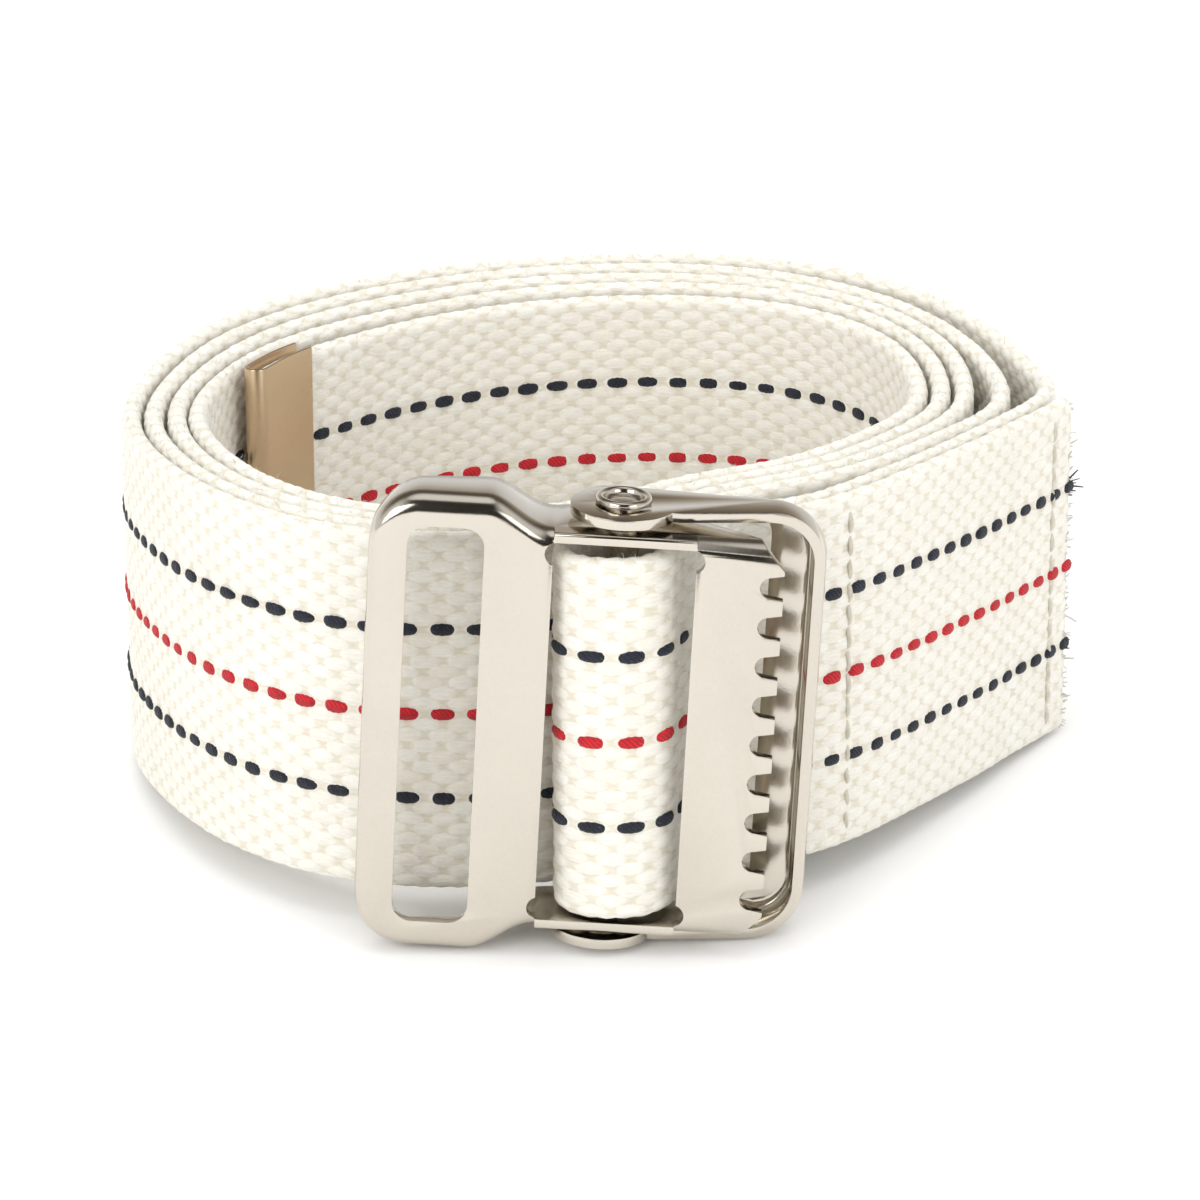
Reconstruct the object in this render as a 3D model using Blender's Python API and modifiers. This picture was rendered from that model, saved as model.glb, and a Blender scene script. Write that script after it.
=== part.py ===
"""Gait belt: a long striped cotton webbing strap with a spring-toothed metal buckle, stored as a coil.

The strap stands on its edge and is rolled into a loose coil.  One end is looped round the buckle's pin,
doubled back and sewn with two rows of stitches; the other end carries a folded metal tip.  The buckle is
two stamped plates, a rear frame and a toothed lever, that both turn on the same rivet.
Units are metres, Z is up, and the front of the belt faces -Y.
"""
import math

import bmesh
import bpy
from mathutils import Matrix, Vector

MM = 0.001
WELD = 0.01               # points closer than this are one point, in millimetres
SHARP_ANGLE = 40.0        # edges bent more than this many degrees stay sharp

# ---- driving sizes, in millimetres -------------------------------------------------------------
WEB_WIDTH = 50.8          # standard two-inch webbing
WEB_THICK = 2.6
WEB_CRIMPED = 1.9         # thickness where the metal tip squeezes it
WEB_EASE = 0.7            # easing of the webbing's four corners
PIN_X = 1.5
PIN_Y = -60.0
BUCKLE_Z = 31.5           # height of the middle of the buckle above the table
LIFT = 5.6                # the webbing's height above the table where it meets the buckle
LIFT_FRONT = -58.0        # depth at which the lift is complete
LIFT_BACK = 30.0          # depth at which the webbing lies on the table
CENTRE_X = -0.23          # middle of the whole object in plan
CENTRE_Y = 8.62
LEAN = 3.0                # how far the top of the buckle leans to the right, degrees

SHEET = 1.35              # thickness of the stamped steel
SHAFT_R = 2.3
BORE_R = 2.65
HEAD_R = 3.7
ROUND_STEPS = 24          # flat sides that stand for a full circle

# The lever, measured from the pin: x runs along the strap, y to the back, z up the pin.
LEVER_ANGLE = -1.5        # resting angles of the two plates about the pin, degrees
LEVER_FRONT = -6.6
LEVER_BACK = 8.0
LEVER_LEFT = -32.7
LEVER_TALL = 32.0         # half height of its wide handle
LEVER_LOW = 27.9          # half height of the part that fits inside the frame
LEVER_CORNER = 7.0        # rounding of the handle's outer corners
LEVER_ROLL = 2.0          # how far the handle's end curls back
NECK_LEFT = -17.5         # the handle narrows between these two places
NECK_RIGHT = -8.7
BEND = 2.6                # outside radius where the flanges turn back
LIP_BEND = 0.45           # tighter corner where the window meets the flanges
LIP_INSIDE = 0.15
WINDOW_LEFT = -8.7
WINDOW_RIGHT = 9.9
RELIEF_R = 1.6            # round relief cuts at the window's four corners
RELIEF_IN = 0.5
EYE_R = 7.2               # rounding of the flanges about the pin
SLOT_LEFT = -27.6         # slot for the loose end of the strap
SLOT_RIGHT = -17.6
SLOT_HALF = 27.8
SLOT_CORNER = 2.6
TOOTH_PITCH = 5.5
TOOTH_COUNT = 9           # notches
NOTCH_R = 1.45
LEVER_TIPS = 21.3
LEVER_ROOTS = 18.2
FREE_CORNER = 3.4         # slanted corners at both ends of the toothed edge

# The frame, measured from the pin in the same way.
FRAME_ANGLE = -6.4
ARM_OUT = 30.2            # half height over both arms
FRAME_RIGHT = 26.5
FRAME_BACK = 8.9
FRAME_CORNER = 7.2
FRAME_BEND = 2.9
EAR_R = 6.9
ARM_BACK = 6.5            # rear edge of the arms beside the window
PLATE_LEFT = 19.0
PLATE_CORNER = 3.5
FRAME_WINDOW = 28.3       # half height of the window the strap passes through
BLANK_LEFT = -9.0         # left and front limits of the pan before its arms are trimmed
BLANK_FRONT = -9.0
CLEAR = 5.0               # how far cutters run past the metal
BEYOND = 40.0             # a distance outside both plates, for the ends of cutters

HEAD_GAP = 0.3            # play between the frame's arms and the rivet's heads
HEAD_TALL = 0.9

TIP_LONG = 11.8
TIP_GAP = 0.3
TIP_SHEET = 0.55
TIP_PROUD = 0.8           # how far the tip stands above the webbing
CRIMP_LONG = 4.0          # the webbing thins over this length before the tip
TIP_STEPS = 6
TIP_STOP = 0.98           # share of the tip's length that follows the strap before its fold

STITCH_LONG = 3.3
STITCH_MARGIN = 2.2       # plain webbing above and below each sewn row
STITCH_PARTS = 6          # sections that shape each stitch
STITCH_GAP = 0.32
THREAD_THIN = 0.17
THREAD_FULL = 0.33
STITCH_END = 5.4          # distance of the last sewn row from the strap's cut end
NEAR_NEEDLE = (32.6, -40.0)    # where the rows cross each layer of the doubled strap, in plan
NEAR_BOBBIN = (30.2, -37.9)
END_BOBBIN = (60.4, 9.6)

# ---- the line of the strap in plan, from its cut end to its tip ----------------------------------
# Folded end, going back towards the buckle.
FOLDED = (
    (66.0, 13.2), (62.6, 7.2), (58.4, 0.2), (53.8, -8.0), (49.0, -16.0), (44.4, -23.5), (39.6, -30.7),
    (36.0, -35.8), (32.0, -40.4), (27.2, -44.4), (22.2, -46.5), (18.0, -47.8), (15.6, -50.6),
    (12.2, -55.2), (9.4, -60.0), (7.5, -63.8), (4.7, -65.8), (1.3, -66.3), (-1.9, -65.6),
    (-4.1, -63.6), (-4.95, -60.9), (-4.0, -58.2), (-1.4, -56.4), (2.0, -55.8), (5.8, -55.0),
    (9.6, -52.5), (12.9, -48.6), (16.2, -45.2), (21.0, -43.5), (26.0, -41.3), (30.2, -37.9),
    (33.8, -33.5), (37.2, -28.7), (42.0, -21.6), (46.5, -14.3), (51.2, -6.4), (55.8, 1.6),
    (60.2, 9.5), (63.1, 16.0), (64.2, 23.0),
)
# The coil: one row a turn, each entry an angle in degrees and a distance from the coil's middle.
HUB_X = 0.0
HUB_Y = 12.0
COIL = (
    ((15, 65.2), (30, 67.3), (45, 71.0), (60, 73.6), (75, 73.2), (90, 71.0), (105, 69.4), (120, 68.9),
     (135, 68.6), (150, 67.7), (165, 66.6), (180, 66.3), (195, 66.9), (210, 68.7), (225, 72.0),
     (240, 73.9), (250, 72.2), (260, 68.3), (270, 63.5)),
    ((277, 59.7), (284, 55.7), (292, 52.9), (302, 51.6), (316, 50.4), (331, 49.9), (346, 52.1),
     (358, 55.8), (375, 59.2), (390, 61.9), (405, 65.2), (420, 67.7), (435, 67.7), (450, 66.3),
     (465, 64.9), (480, 64.2), (495, 64.0), (510, 63.7), (525, 63.1), (540, 63.1), (555, 63.8),
     (570, 65.6), (585, 68.8), (600, 70.7), (610, 69.0), (620, 65.1), (630, 60.2)),
    ((637, 56.0), (644, 52.1), (652, 49.4), (662, 48.2), (676, 47.2), (691, 46.8), (706, 48.6),
     (718, 51.0), (735, 54.3), (750, 58.1), (765, 61.5), (780, 63.6), (795, 63.1), (810, 61.5),
     (825, 60.2), (840, 59.2), (855, 59.2), (870, 59.5), (885, 59.6), (900, 60.0), (915, 60.7),
     (930, 62.5), (945, 65.6), (960, 67.5), (970, 65.8), (980, 61.9), (990, 56.8)),
    ((997, 52.4), (1004, 48.4), (1012, 46.1), (1022, 45.0), (1036, 44.1), (1051, 43.7), (1066, 45.3),
     (1078, 47.6), (1095, 50.8), (1110, 54.6), (1125, 57.9), (1140, 59.6), (1155, 58.6), (1170, 56.6),
     (1185, 54.9), (1200, 53.6), (1215, 54.0), (1230, 55.3), (1245, 56.2), (1260, 56.8), (1275, 57.5),
     (1290, 59.3), (1305, 62.4), (1320, 64.2), (1330, 62.5), (1340, 58.5), (1350, 53.2)),
    ((1357, 48.7), (1364, 44.8), (1372, 42.7), (1382, 41.8), (1396, 41.0), (1411, 40.6), (1426, 42.0),
     (1438, 44.2), (1455, 47.4), (1470, 50.8), (1485, 53.3), (1500, 53.9), (1515, 52.0), (1530, 49.9),
     (1545, 48.4), (1560, 47.6), (1575, 47.8), (1587, 49.1), (1597, 50.6), (1604, 51.5)),
)
PATH_STEPS = 12           # fine points between neighbouring entries
SECTION_SAG = 0.3         # the tighter the bend, the closer the sections, between these two limits
SECTION_NEAR = 1.6
SECTION_FAR = 8.0
LOOK_AHEAD = 3.0

# ---- colours -------------------------------------------------------------------------------------
COLOURS = {
    "cotton": ((0.86, 0.83, 0.74, 1.0), 0.0, 0.9),
    "nickel": ((0.80, 0.77, 0.70, 1.0), 1.0, 0.28),
    "tip_metal": ((0.78, 0.68, 0.55, 1.0), 1.0, 0.22),
    "thread": ((0.80, 0.72, 0.56, 1.0), 0.0, 0.8),
}


# ---- small tools ---------------------------------------------------------------------------------
def clear_scene():
    for item in list(bpy.data.objects):
        bpy.data.objects.remove(item, do_unlink=True)


def collection(name):
    found = bpy.data.collections.get(name)
    if found is None:
        found = bpy.data.collections.new(name)
        bpy.context.scene.collection.children.link(found)
    return found


def material(name, kind):
    colour, metal, rough = COLOURS[kind]
    made = bpy.data.materials.new(name)
    made.use_nodes = True
    shader = made.node_tree.nodes["Principled BSDF"]
    shader.inputs["Base Color"].default_value = colour
    shader.inputs["Metallic"].default_value = metal
    shader.inputs["Roughness"].default_value = rough
    made.diffuse_color = colour
    return made


def place_object(name, mesh, kind, group="gait_belt"):
    """Put a mesh in the scene as one named object with its own material."""
    made = bpy.data.objects.new(name, mesh)
    collection(group).objects.link(made)
    if kind is None:
        made.hide_render = True
        made.display_type = "WIRE"
    else:
        mesh.materials.append(material(name + "_material", kind))
    return made


def mesh_from(bm, name):
    """A mesh in metres, with its faces pointing outwards, from a bmesh in millimetres."""
    bmesh.ops.scale(bm, vec=(MM, MM, MM), verts=bm.verts)
    bmesh.ops.recalc_face_normals(bm, faces=bm.faces)
    mesh = bpy.data.meshes.new(name)
    bm.to_mesh(mesh)
    bm.free()
    return mesh


def shaped_mesh(made):
    """The object's mesh with its curve or modifiers worked out."""
    bpy.context.view_layer.update()
    graph = bpy.context.evaluated_depsgraph_get()
    return bpy.data.meshes.new_from_object(made.evaluated_get(graph))


def arc(cx, cy, radius, start, stop, steps):
    """Points along an arc between two angles in degrees."""
    points = []
    for i in range(steps + 1):
        angle = math.radians(start + (stop - start) * i / steps)
        points.append((cx + radius * math.cos(angle), cy + radius * math.sin(angle)))
    return points


def rounded_box(left, right, half, radius, steps=5):
    """An upright outline with rounded corners, even about its middle."""
    points = arc(right - radius, radius - half, radius, -90, 0, steps)
    points += arc(right - radius, half - radius, radius, 0, 90, steps)
    points += arc(left + radius, half - radius, radius, 90, 180, steps)
    points += arc(left + radius, radius - half, radius, 180, 270, steps)
    return points


def flat_mesh(name, outline, low, high, axis="Z"):
    """A closed outline filled and extruded between two levels of Z, or of Y with the outline upright."""
    curve = bpy.data.curves.new(name, "CURVE")
    curve.dimensions = "2D"
    curve.fill_mode = "BOTH"
    curve.extrude = (high - low) / 2.0
    line = curve.splines.new("POLY")
    line.points.add(len(outline) - 1)
    for point, (a, b) in zip(line.points, outline):
        point.co = (a, b, 0.0, 1.0)
    line.use_cyclic_u = True
    drawn = bpy.data.objects.new(name, curve)
    collection("cutters").objects.link(drawn)
    bm = bmesh.new()
    bm.from_mesh(shaped_mesh(drawn))
    bpy.data.objects.remove(drawn, do_unlink=True)
    bmesh.ops.remove_doubles(bm, verts=bm.verts, dist=WELD)
    middle = (low + high) / 2.0
    shift = Vector((0.0, 0.0, middle))
    if axis == "Y":
        bmesh.ops.rotate(bm, matrix=Matrix.Rotation(math.radians(90), 3, "X"), verts=bm.verts)
        shift = Vector((0.0, middle, 0.0))
    bmesh.ops.translate(bm, vec=shift, verts=bm.verts)
    return mesh_from(bm, name)


def cutter(name, outline, low, high, axis):
    return place_object(name, flat_mesh(name, outline, low, high, axis), None, group="cutters")


def round_cutter(name, radius, half):
    """A round bar along Z for drilling the pin's holes."""
    bm = bmesh.new()
    bmesh.ops.create_cone(bm, cap_ends=True, segments=ROUND_STEPS, radius1=radius, radius2=radius,
                          depth=2.0 * half)
    return place_object(name, mesh_from(bm, name), None, group="cutters")


def loft(bm, rings):
    """Join closed rings of points in order and close both ends."""
    placed = [[bm.verts.new(point) for point in ring] for ring in rings]
    count = len(placed[0])
    for a, b in zip(placed, placed[1:]):
        for i in range(count):
            j = (i + 1) % count
            bm.faces.new((a[i], a[j], b[j], b[i]))
    bm.faces.new(list(reversed(placed[0])))
    bm.faces.new(placed[-1])


def cut_away(target, cutters):
    """Take each cutter out of the target with an exact Boolean and keep the result as its mesh."""
    for item in cutters:
        mod = target.modifiers.new(item.name, "BOOLEAN")
        mod.operation = "DIFFERENCE"
        mod.solver = "EXACT"
        mod.object = item
    mesh = shaped_mesh(target)
    target.modifiers.clear()
    bm = bmesh.new()
    bm.from_mesh(mesh)
    bmesh.ops.remove_doubles(bm, verts=bm.verts, dist=WELD * MM)
    bmesh.ops.triangulate(bm, faces=bm.faces)
    bmesh.ops.recalc_face_normals(bm, faces=bm.faces)
    bm.to_mesh(mesh)
    bm.free()
    target.data = mesh


def smooth_round(made):
    """Shade the curved faces smooth and keep the real edges sharp."""
    made.data.shade_smooth()
    made.data.set_sharp_from_angle(angle=math.radians(SHARP_ANGLE))


def set_on_pin(made, angle):
    """Turn a buckle piece about the pin, lean it with the pin and move it to its place."""
    turn = Matrix.Rotation(math.radians(LEAN), 4, "Y") @ Matrix.Rotation(math.radians(angle), 4, "Z")
    made.data.transform(turn)
    made.location = Vector((PIN_X - CENTRE_X, PIN_Y - CENTRE_Y, BUCKLE_Z)) * MM
    smooth_round(made)


# ---- the strap's line ----------------------------------------------------------------------------
def spline(points, steps):
    """A smooth curve through points, with natural ends, sampled evenly between each pair."""
    knots = [0.0]
    for a, b in zip(points, points[1:]):
        knots.append(knots[-1] + math.dist(a, b))
    count = len(points)
    curves = []
    for axis in (0, 1):
        value = [p[axis] for p in points]
        upper = [0.0] * count
        right = [0.0] * count
        for i in range(1, count - 1):
            before = knots[i] - knots[i - 1]
            after = knots[i + 1] - knots[i]
            slope = (value[i + 1] - value[i]) / after - (value[i] - value[i - 1]) / before
            pivot = 2.0 * (before + after) - before * upper[i - 1]
            upper[i] = after / pivot
            right[i] = (6.0 * slope - before * right[i - 1]) / pivot
        second = [0.0] * count
        for i in range(count - 2, 0, -1):
            second[i] = right[i] - upper[i] * second[i + 1]
        curves.append((value, second))
    line = []
    for i in range(count - 1):
        gap = knots[i + 1] - knots[i]
        for k in range(steps):
            u = k / steps
            v = 1.0 - u
            spot = []
            for value, second in curves:
                bent = ((v ** 3 - v) * second[i] + (u ** 3 - u) * second[i + 1]) * gap * gap / 6.0
                spot.append(v * value[i] + u * value[i + 1] + bent)
            line.append(tuple(spot))
    line.append(tuple(points[-1]))
    return line


def strap_line():
    points = list(FOLDED)
    for turn in COIL:
        for angle, radius in turn:
            bearing = math.radians(angle)
            points.append((HUB_X + radius * math.cos(bearing), HUB_Y + radius * math.sin(bearing)))
    return spline(points, PATH_STEPS)


def distances(line):
    total = [0.0]
    for a, b in zip(line, line[1:]):
        total.append(total[-1] + math.dist(a, b))
    return total


def lift_at(y):
    """Height of the webbing's lower edge above the table, from its depth in the coil."""
    share = (LIFT_BACK - y) / (LIFT_BACK - LIFT_FRONT)
    share = max(0.0, min(1.0, share))
    return LIFT * share * share * (3.0 - 2.0 * share)


def along(line, total, where):
    """Point and direction at a distance along the line."""
    low = 0
    high = len(total) - 1
    while high - low > 1:
        middle = (low + high) // 2
        if total[middle] <= where:
            low = middle
        else:
            high = middle
    span = total[high] - total[low]
    share = (where - total[low]) / span
    a = line[low]
    b = line[high]
    spot = (a[0] + (b[0] - a[0]) * share, a[1] + (b[1] - a[1]) * share)
    before = line[max(low - 1, 0)]
    after = line[min(high + 1, len(line) - 1)]
    size = math.dist(before, after)
    return spot, ((after[0] - before[0]) / size, (after[1] - before[1]) / size)


def stations(line, total, start, stop):
    """Distances where the strap gets a section, closer together where it bends tightly."""
    where = start
    found = [where]
    while where < stop:
        _, here = along(line, total, where)
        _, ahead = along(line, total, min(where + LOOK_AHEAD, stop))
        turn = abs(here[0] * ahead[1] - here[1] * ahead[0]) / LOOK_AHEAD
        step = math.sqrt(SECTION_SAG / max(turn, 0.001))
        where += max(SECTION_NEAR, min(SECTION_FAR, step))
        if where > stop - 0.9:
            break
        found.append(where)
    found.append(stop)
    return found


def across(item, side, ahead=0.0):
    """The plan point at an offset to the side of a place on the strap, and ahead of it."""
    (x, y), (dx, dy) = item
    return (x + dy * side + dx * ahead - CENTRE_X, y - dx * side + dy * ahead - CENTRE_Y)


def distance_to(line, total, target, low, high):
    """Distance along the line of the place nearest a point, searched between two distances."""
    best = low
    gap = math.inf
    for spot, where in zip(line, total):
        if low <= where <= high and math.dist(spot, target) < gap:
            gap = math.dist(spot, target)
            best = where
    return best


# ---- the pieces ----------------------------------------------------------------------------------
def half_thickness(where, length):
    """Half the webbing's thickness, squeezed near the tip."""
    share = (where - (length - TIP_LONG - CRIMP_LONG)) / CRIMP_LONG
    share = max(0.0, min(1.0, share))
    return 0.5 * (WEB_THICK + (WEB_CRIMPED - WEB_THICK) * share)


def build_strap(line, total):
    """A flat section with eased corners, swept on edge along the whole line."""
    length = total[-1]
    rings = []
    for where in stations(line, total, 0.0, length):
        item = along(line, total, where)
        half = half_thickness(where, length)
        base = lift_at(item[0][1])
        ease = min(WEB_EASE, half * 0.6)
        section = (
            (half, ease), (half, WEB_WIDTH - ease), (half - ease, WEB_WIDTH), (ease - half, WEB_WIDTH),
            (-half, WEB_WIDTH - ease), (-half, ease), (ease - half, 0.0), (half - ease, 0.0),
        )
        rings.append([(*across(item, side), base + up) for side, up in section])
    bm = bmesh.new()
    loft(bm, rings)
    place_object("webbing_strap", mesh_from(bm, "webbing_strap"), "cotton")


def build_tip(line, total):
    """A strip of sheet metal folded round the end of the strap and crimped from both sides."""
    length = total[-1]
    inner = WEB_CRIMPED / 2.0 + TIP_GAP
    outer = inner + TIP_SHEET
    end = along(line, total, length - 0.01)
    start = length - TIP_LONG
    reach = TIP_LONG * TIP_STOP / TIP_STEPS
    sides = [along(line, total, start + reach * i) for i in range(TIP_STEPS + 1)]
    fold = [(math.cos(math.pi * k / 8), math.sin(math.pi * k / 8)) for k in range(9)]
    outline = [across(item, outer) for item in sides]
    outline += [across(end, outer * c, outer * s + TIP_GAP / 2.0) for c, s in fold]
    outline += [across(item, -outer) for item in reversed(sides)]
    outline += [across(item, -inner) for item in sides]
    outline += [across(end, inner * c, inner * s + TIP_GAP / 2.0) for c, s in reversed(fold)]
    outline += [across(item, inner) for item in reversed(sides)]
    base = lift_at(end[0][1])
    mesh = flat_mesh("strap_tip", outline, base, base + WEB_WIDTH + TIP_PROUD)
    smooth_round(place_object("strap_tip", mesh, "tip_metal"))


def build_stitches(name, line, total, where):
    """One sewing thread down the width of the strap: it swells over each stitch and thins between them."""
    item = along(line, total, where)
    base = lift_at(item[0][1])
    bottom = base + STITCH_MARGIN
    count = int(round((WEB_WIDTH - 2.0 * STITCH_MARGIN) / STITCH_LONG))
    step = (WEB_WIDTH - 2.0 * STITCH_MARGIN) / (count * STITCH_PARTS)
    rings = []
    for k in range(count * STITCH_PARTS + 1):
        swell = abs(math.sin(math.pi * k / STITCH_PARTS)) ** 0.5
        radius = THREAD_THIN + (THREAD_FULL - THREAD_THIN) * swell
        out = WEB_THICK / 2.0 + STITCH_GAP + radius
        rings.append([(*across(item, v - out, 1.25 * u), bottom + step * k)
                      for u, v in arc(0.0, 0.0, radius, 0, 315, 7)])
    bm = bmesh.new()
    loft(bm, rings)
    smooth_round(place_object(name, mesh_from(bm, name), "thread"))


def lever_half_height(x):
    """Half height of the lever at a place along it: a tall rounded handle, then a step down."""
    if x < LEVER_LEFT + LEVER_CORNER:
        run = LEVER_LEFT + LEVER_CORNER - x
        return LEVER_TALL - LEVER_CORNER + math.sqrt(max(LEVER_CORNER ** 2 - run * run, 0.0))
    share = (x - NECK_LEFT) / (NECK_RIGHT - NECK_LEFT)
    share = max(0.0, min(1.0, share))
    return LEVER_TALL + (LEVER_LOW - LEVER_TALL) * share * share * (3.0 - 2.0 * share)


def lever_section(x, bend):
    """The lever's channel section at x: a flat front with a flange turned back at the top and bottom."""
    h = lever_half_height(x)
    run = max(LEVER_LEFT + LEVER_ROLL - x, 0.0)
    front = LEVER_FRONT + LEVER_ROLL - math.sqrt(max(LEVER_ROLL ** 2 - run * run, 0.0))
    small = max(bend - SHEET, LIP_INSIDE)
    deep = max(SHEET + small, bend)
    upper = [(front + bend - a, h - bend + b) for a, b in arc(0.0, 0.0, bend, 0, 90, 4)]
    under = [(front + deep - a, h - deep + b) for a, b in arc(0.0, 0.0, small, 0, 90, 4)]
    half = upper + [(LEVER_BACK, h), (LEVER_BACK, h - SHEET)] + list(reversed(under))
    ring = half + [(y, -z) for y, z in reversed(half)]
    return [(x, y, z) for y, z in ring]


def tooth_edge():
    """The lever's free edge, from bottom to top: round notches leave blunt teeth between them."""
    past = LEVER_LOW + 1.0
    slant = [(LEVER_TIPS - FREE_CORNER, past), (LEVER_TIPS - FREE_CORNER, LEVER_LOW + 0.2),
             (LEVER_TIPS, LEVER_LOW - FREE_CORNER - 0.2)]
    points = [(x, -z) for x, z in slant]
    for k in range(TOOTH_COUNT):
        z = (k - (TOOTH_COUNT - 1) / 2.0) * TOOTH_PITCH
        points.append((LEVER_TIPS, z - NOTCH_R - 0.3))
        points += arc(LEVER_ROOTS + NOTCH_R, z, NOTCH_R, 270, 90, 6)
        points.append((LEVER_TIPS, z + NOTCH_R + 0.3))
    return points + list(reversed(slant))


def lever_window():
    """The lever's window, with a round relief cut at each corner so that the flanges fold cleanly."""
    half = LEVER_LOW - SHEET
    z = half - RELIEF_R
    turn = 90.0 - math.degrees(math.asin(RELIEF_IN / RELIEF_R))
    right = arc(WINDOW_RIGHT - RELIEF_IN, z, RELIEF_R, -turn, 90, 8)
    left = arc(WINDOW_LEFT + RELIEF_IN, z, RELIEF_R, 90, 180 + turn, 8)
    upper = right + left
    return upper + [(x, -y) for x, y in reversed(upper)]


def build_lever():
    """The toothed lever: a bent channel with a slot, a window for the strap and a row of teeth."""
    edge = LEVER_LEFT
    places = [(edge + LEVER_ROLL * (1.0 - math.cos(math.radians(a))), BEND) for a in (0, 30, 60, 90)]
    places += [(edge + d, BEND) for d in (3.5, 5.2, LEVER_CORNER)]
    places += [(NECK_LEFT + (NECK_RIGHT - NECK_LEFT) * k / 8, BEND) for k in range(9)]
    places += [(WINDOW_LEFT + 0.1, LIP_BEND), (WINDOW_RIGHT - 0.1, LIP_BEND), (WINDOW_RIGHT, BEND)]
    places += [(LEVER_TIPS + 0.5, BEND)]
    bm = bmesh.new()
    loft(bm, [lever_section(x, bend) for x, bend in places])
    lever = place_object("toothed_lever", mesh_from(bm, "toothed_lever"), "nickel")

    f = LEVER_FRONT
    flanges = [(-BEYOND, f + 2.5), (-32.7, f + 2.8), (-31.0, f + 4.6), (-29.0, f + 6.4), (-26.5, f + 7.6),
               (-23.0, f + 8.1), (-16.0, f + 8.9), (-11.0, f + 10.2), (-7.6, f + 11.2)]
    flanges += arc(0.0, 0.0, EYE_R, 135, 60, 6)
    flanges += [(17.5, f + BEND + 0.2), (19.0, f + 2.0), (30.0, f + 2.0), (30.0, 20.0), (-BEYOND, 20.0)]
    teeth = tooth_edge()
    teeth += [(BEYOND, LEVER_LOW + 1.0), (BEYOND, -LEVER_LOW - 1.0)]
    slot = rounded_box(SLOT_LEFT, SLOT_RIGHT, SLOT_HALF, SLOT_CORNER)
    cut_away(lever, [
        cutter("flange_trim", flanges, -BEYOND, BEYOND, "Z"),
        cutter("tail_slot", slot, f - CLEAR, f + CLEAR, "Y"),
        cutter("front_window", lever_window(), f - CLEAR, f + CLEAR, "Y"),
        round_cutter("lever_bore", BORE_R, BEYOND),
        cutter("teeth", teeth, f - CLEAR, LEVER_BACK + CLEAR, "Y"),
    ])
    set_on_pin(lever, LEVER_ANGLE)


def pan_ring(y, inset):
    """One outline of the frame's pan at a depth, set in from its outside."""
    x = FRAME_RIGHT - FRAME_CORNER
    z = ARM_OUT - FRAME_CORNER
    radius = FRAME_CORNER - inset
    points = arc(x, -z, radius, -90, 0, 6) + arc(x, z, radius, 0, 90, 6)
    left = BLANK_LEFT - inset
    outline = [(left, inset - ARM_OUT)] + points + [(left, ARM_OUT - inset)]
    return [(a, y, b) for a, b in outline]


def pan(name, inset, front, kind):
    """A shallow solid pan with rounded rear edges: the outside, or with no kind a cutter for its hollow."""
    bend = FRAME_BEND - inset
    back = FRAME_BACK - inset
    rings = [pan_ring(front, inset)]
    for a, b in arc(0.0, 0.0, bend, 0, 90, 5):
        rings.append(pan_ring(back - bend + b, inset + bend - a))
    bm = bmesh.new()
    loft(bm, rings)
    group = "gait_belt" if kind else "cutters"
    return place_object(name, mesh_from(bm, name), kind, group=group)


def build_frame():
    """The rear frame: a pan cut away to two arms, an end wall and a plate beyond a large window."""
    frame = pan("rear_frame", 0.0, BLANK_FRONT, "nickel")
    left = BLANK_LEFT - CLEAR
    window = [(left, -FRAME_WINDOW)]
    window += arc(PLATE_LEFT - PLATE_CORNER, PLATE_CORNER - FRAME_WINDOW, PLATE_CORNER, -90, 0, 5)
    window += arc(PLATE_LEFT - PLATE_CORNER, FRAME_WINDOW - PLATE_CORNER, PLATE_CORNER, 0, 90, 5)
    window += [(left, FRAME_WINDOW)]
    arms = [(-20.0, -20.0), (BEYOND, -20.0), (BEYOND, 3.0), (26.8, 3.0), (8.0, -1.9)]
    arms += arc(0.0, 0.0, EAR_R, -17, -262, 20)
    arms += [(3.0, ARM_BACK + 0.1), (13.0, ARM_BACK), (15.4, ARM_BACK + 0.9), (16.4, FRAME_BACK + 0.4),
             (16.4, 20.0), (-20.0, 20.0)]
    cut_away(frame, [
        pan("pan_hollow", SHEET, BLANK_FRONT - CLEAR, None),
        cutter("strap_window", window, 0.0, FRAME_BACK + CLEAR, "Y"),
        cutter("arm_trim", arms, -BEYOND, BEYOND, "Z"),
        round_cutter("frame_bore", BORE_R, BEYOND + 1.0),
    ])
    set_on_pin(frame, FRAME_ANGLE)


def build_pin():
    """The rivet: a round shaft, a plain head below and a rolled, hollow head above."""
    low = -ARM_OUT - HEAD_GAP
    high = ARM_OUT + HEAD_GAP
    top = high + HEAD_TALL
    profile = (
        (0.0, high + 0.35), (1.7, high + 0.4), (2.3, top), (3.2, top), (HEAD_R, high + 0.45),
        (HEAD_R, high), (SHAFT_R, high), (SHAFT_R, low), (HEAD_R, low), (HEAD_R, low - 0.35),
        (2.6, low - 0.85), (0.0, low - HEAD_TALL),
    )
    mesh = bpy.data.meshes.new("pivot_pin")
    mesh.from_pydata([(r * MM, 0.0, z * MM) for r, z in profile],
                     [(i, i + 1) for i in range(len(profile) - 1)], [])
    pin = place_object("pivot_pin", mesh, "nickel")
    turned = pin.modifiers.new("turned", "SCREW")
    turned.axis = "Z"
    turned.steps = ROUND_STEPS
    turned.render_steps = ROUND_STEPS
    turned.use_merge_vertices = True
    turned.merge_threshold = WELD * MM
    pin.data = shaped_mesh(pin)
    pin.modifiers.clear()
    set_on_pin(pin, 0.0)


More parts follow.
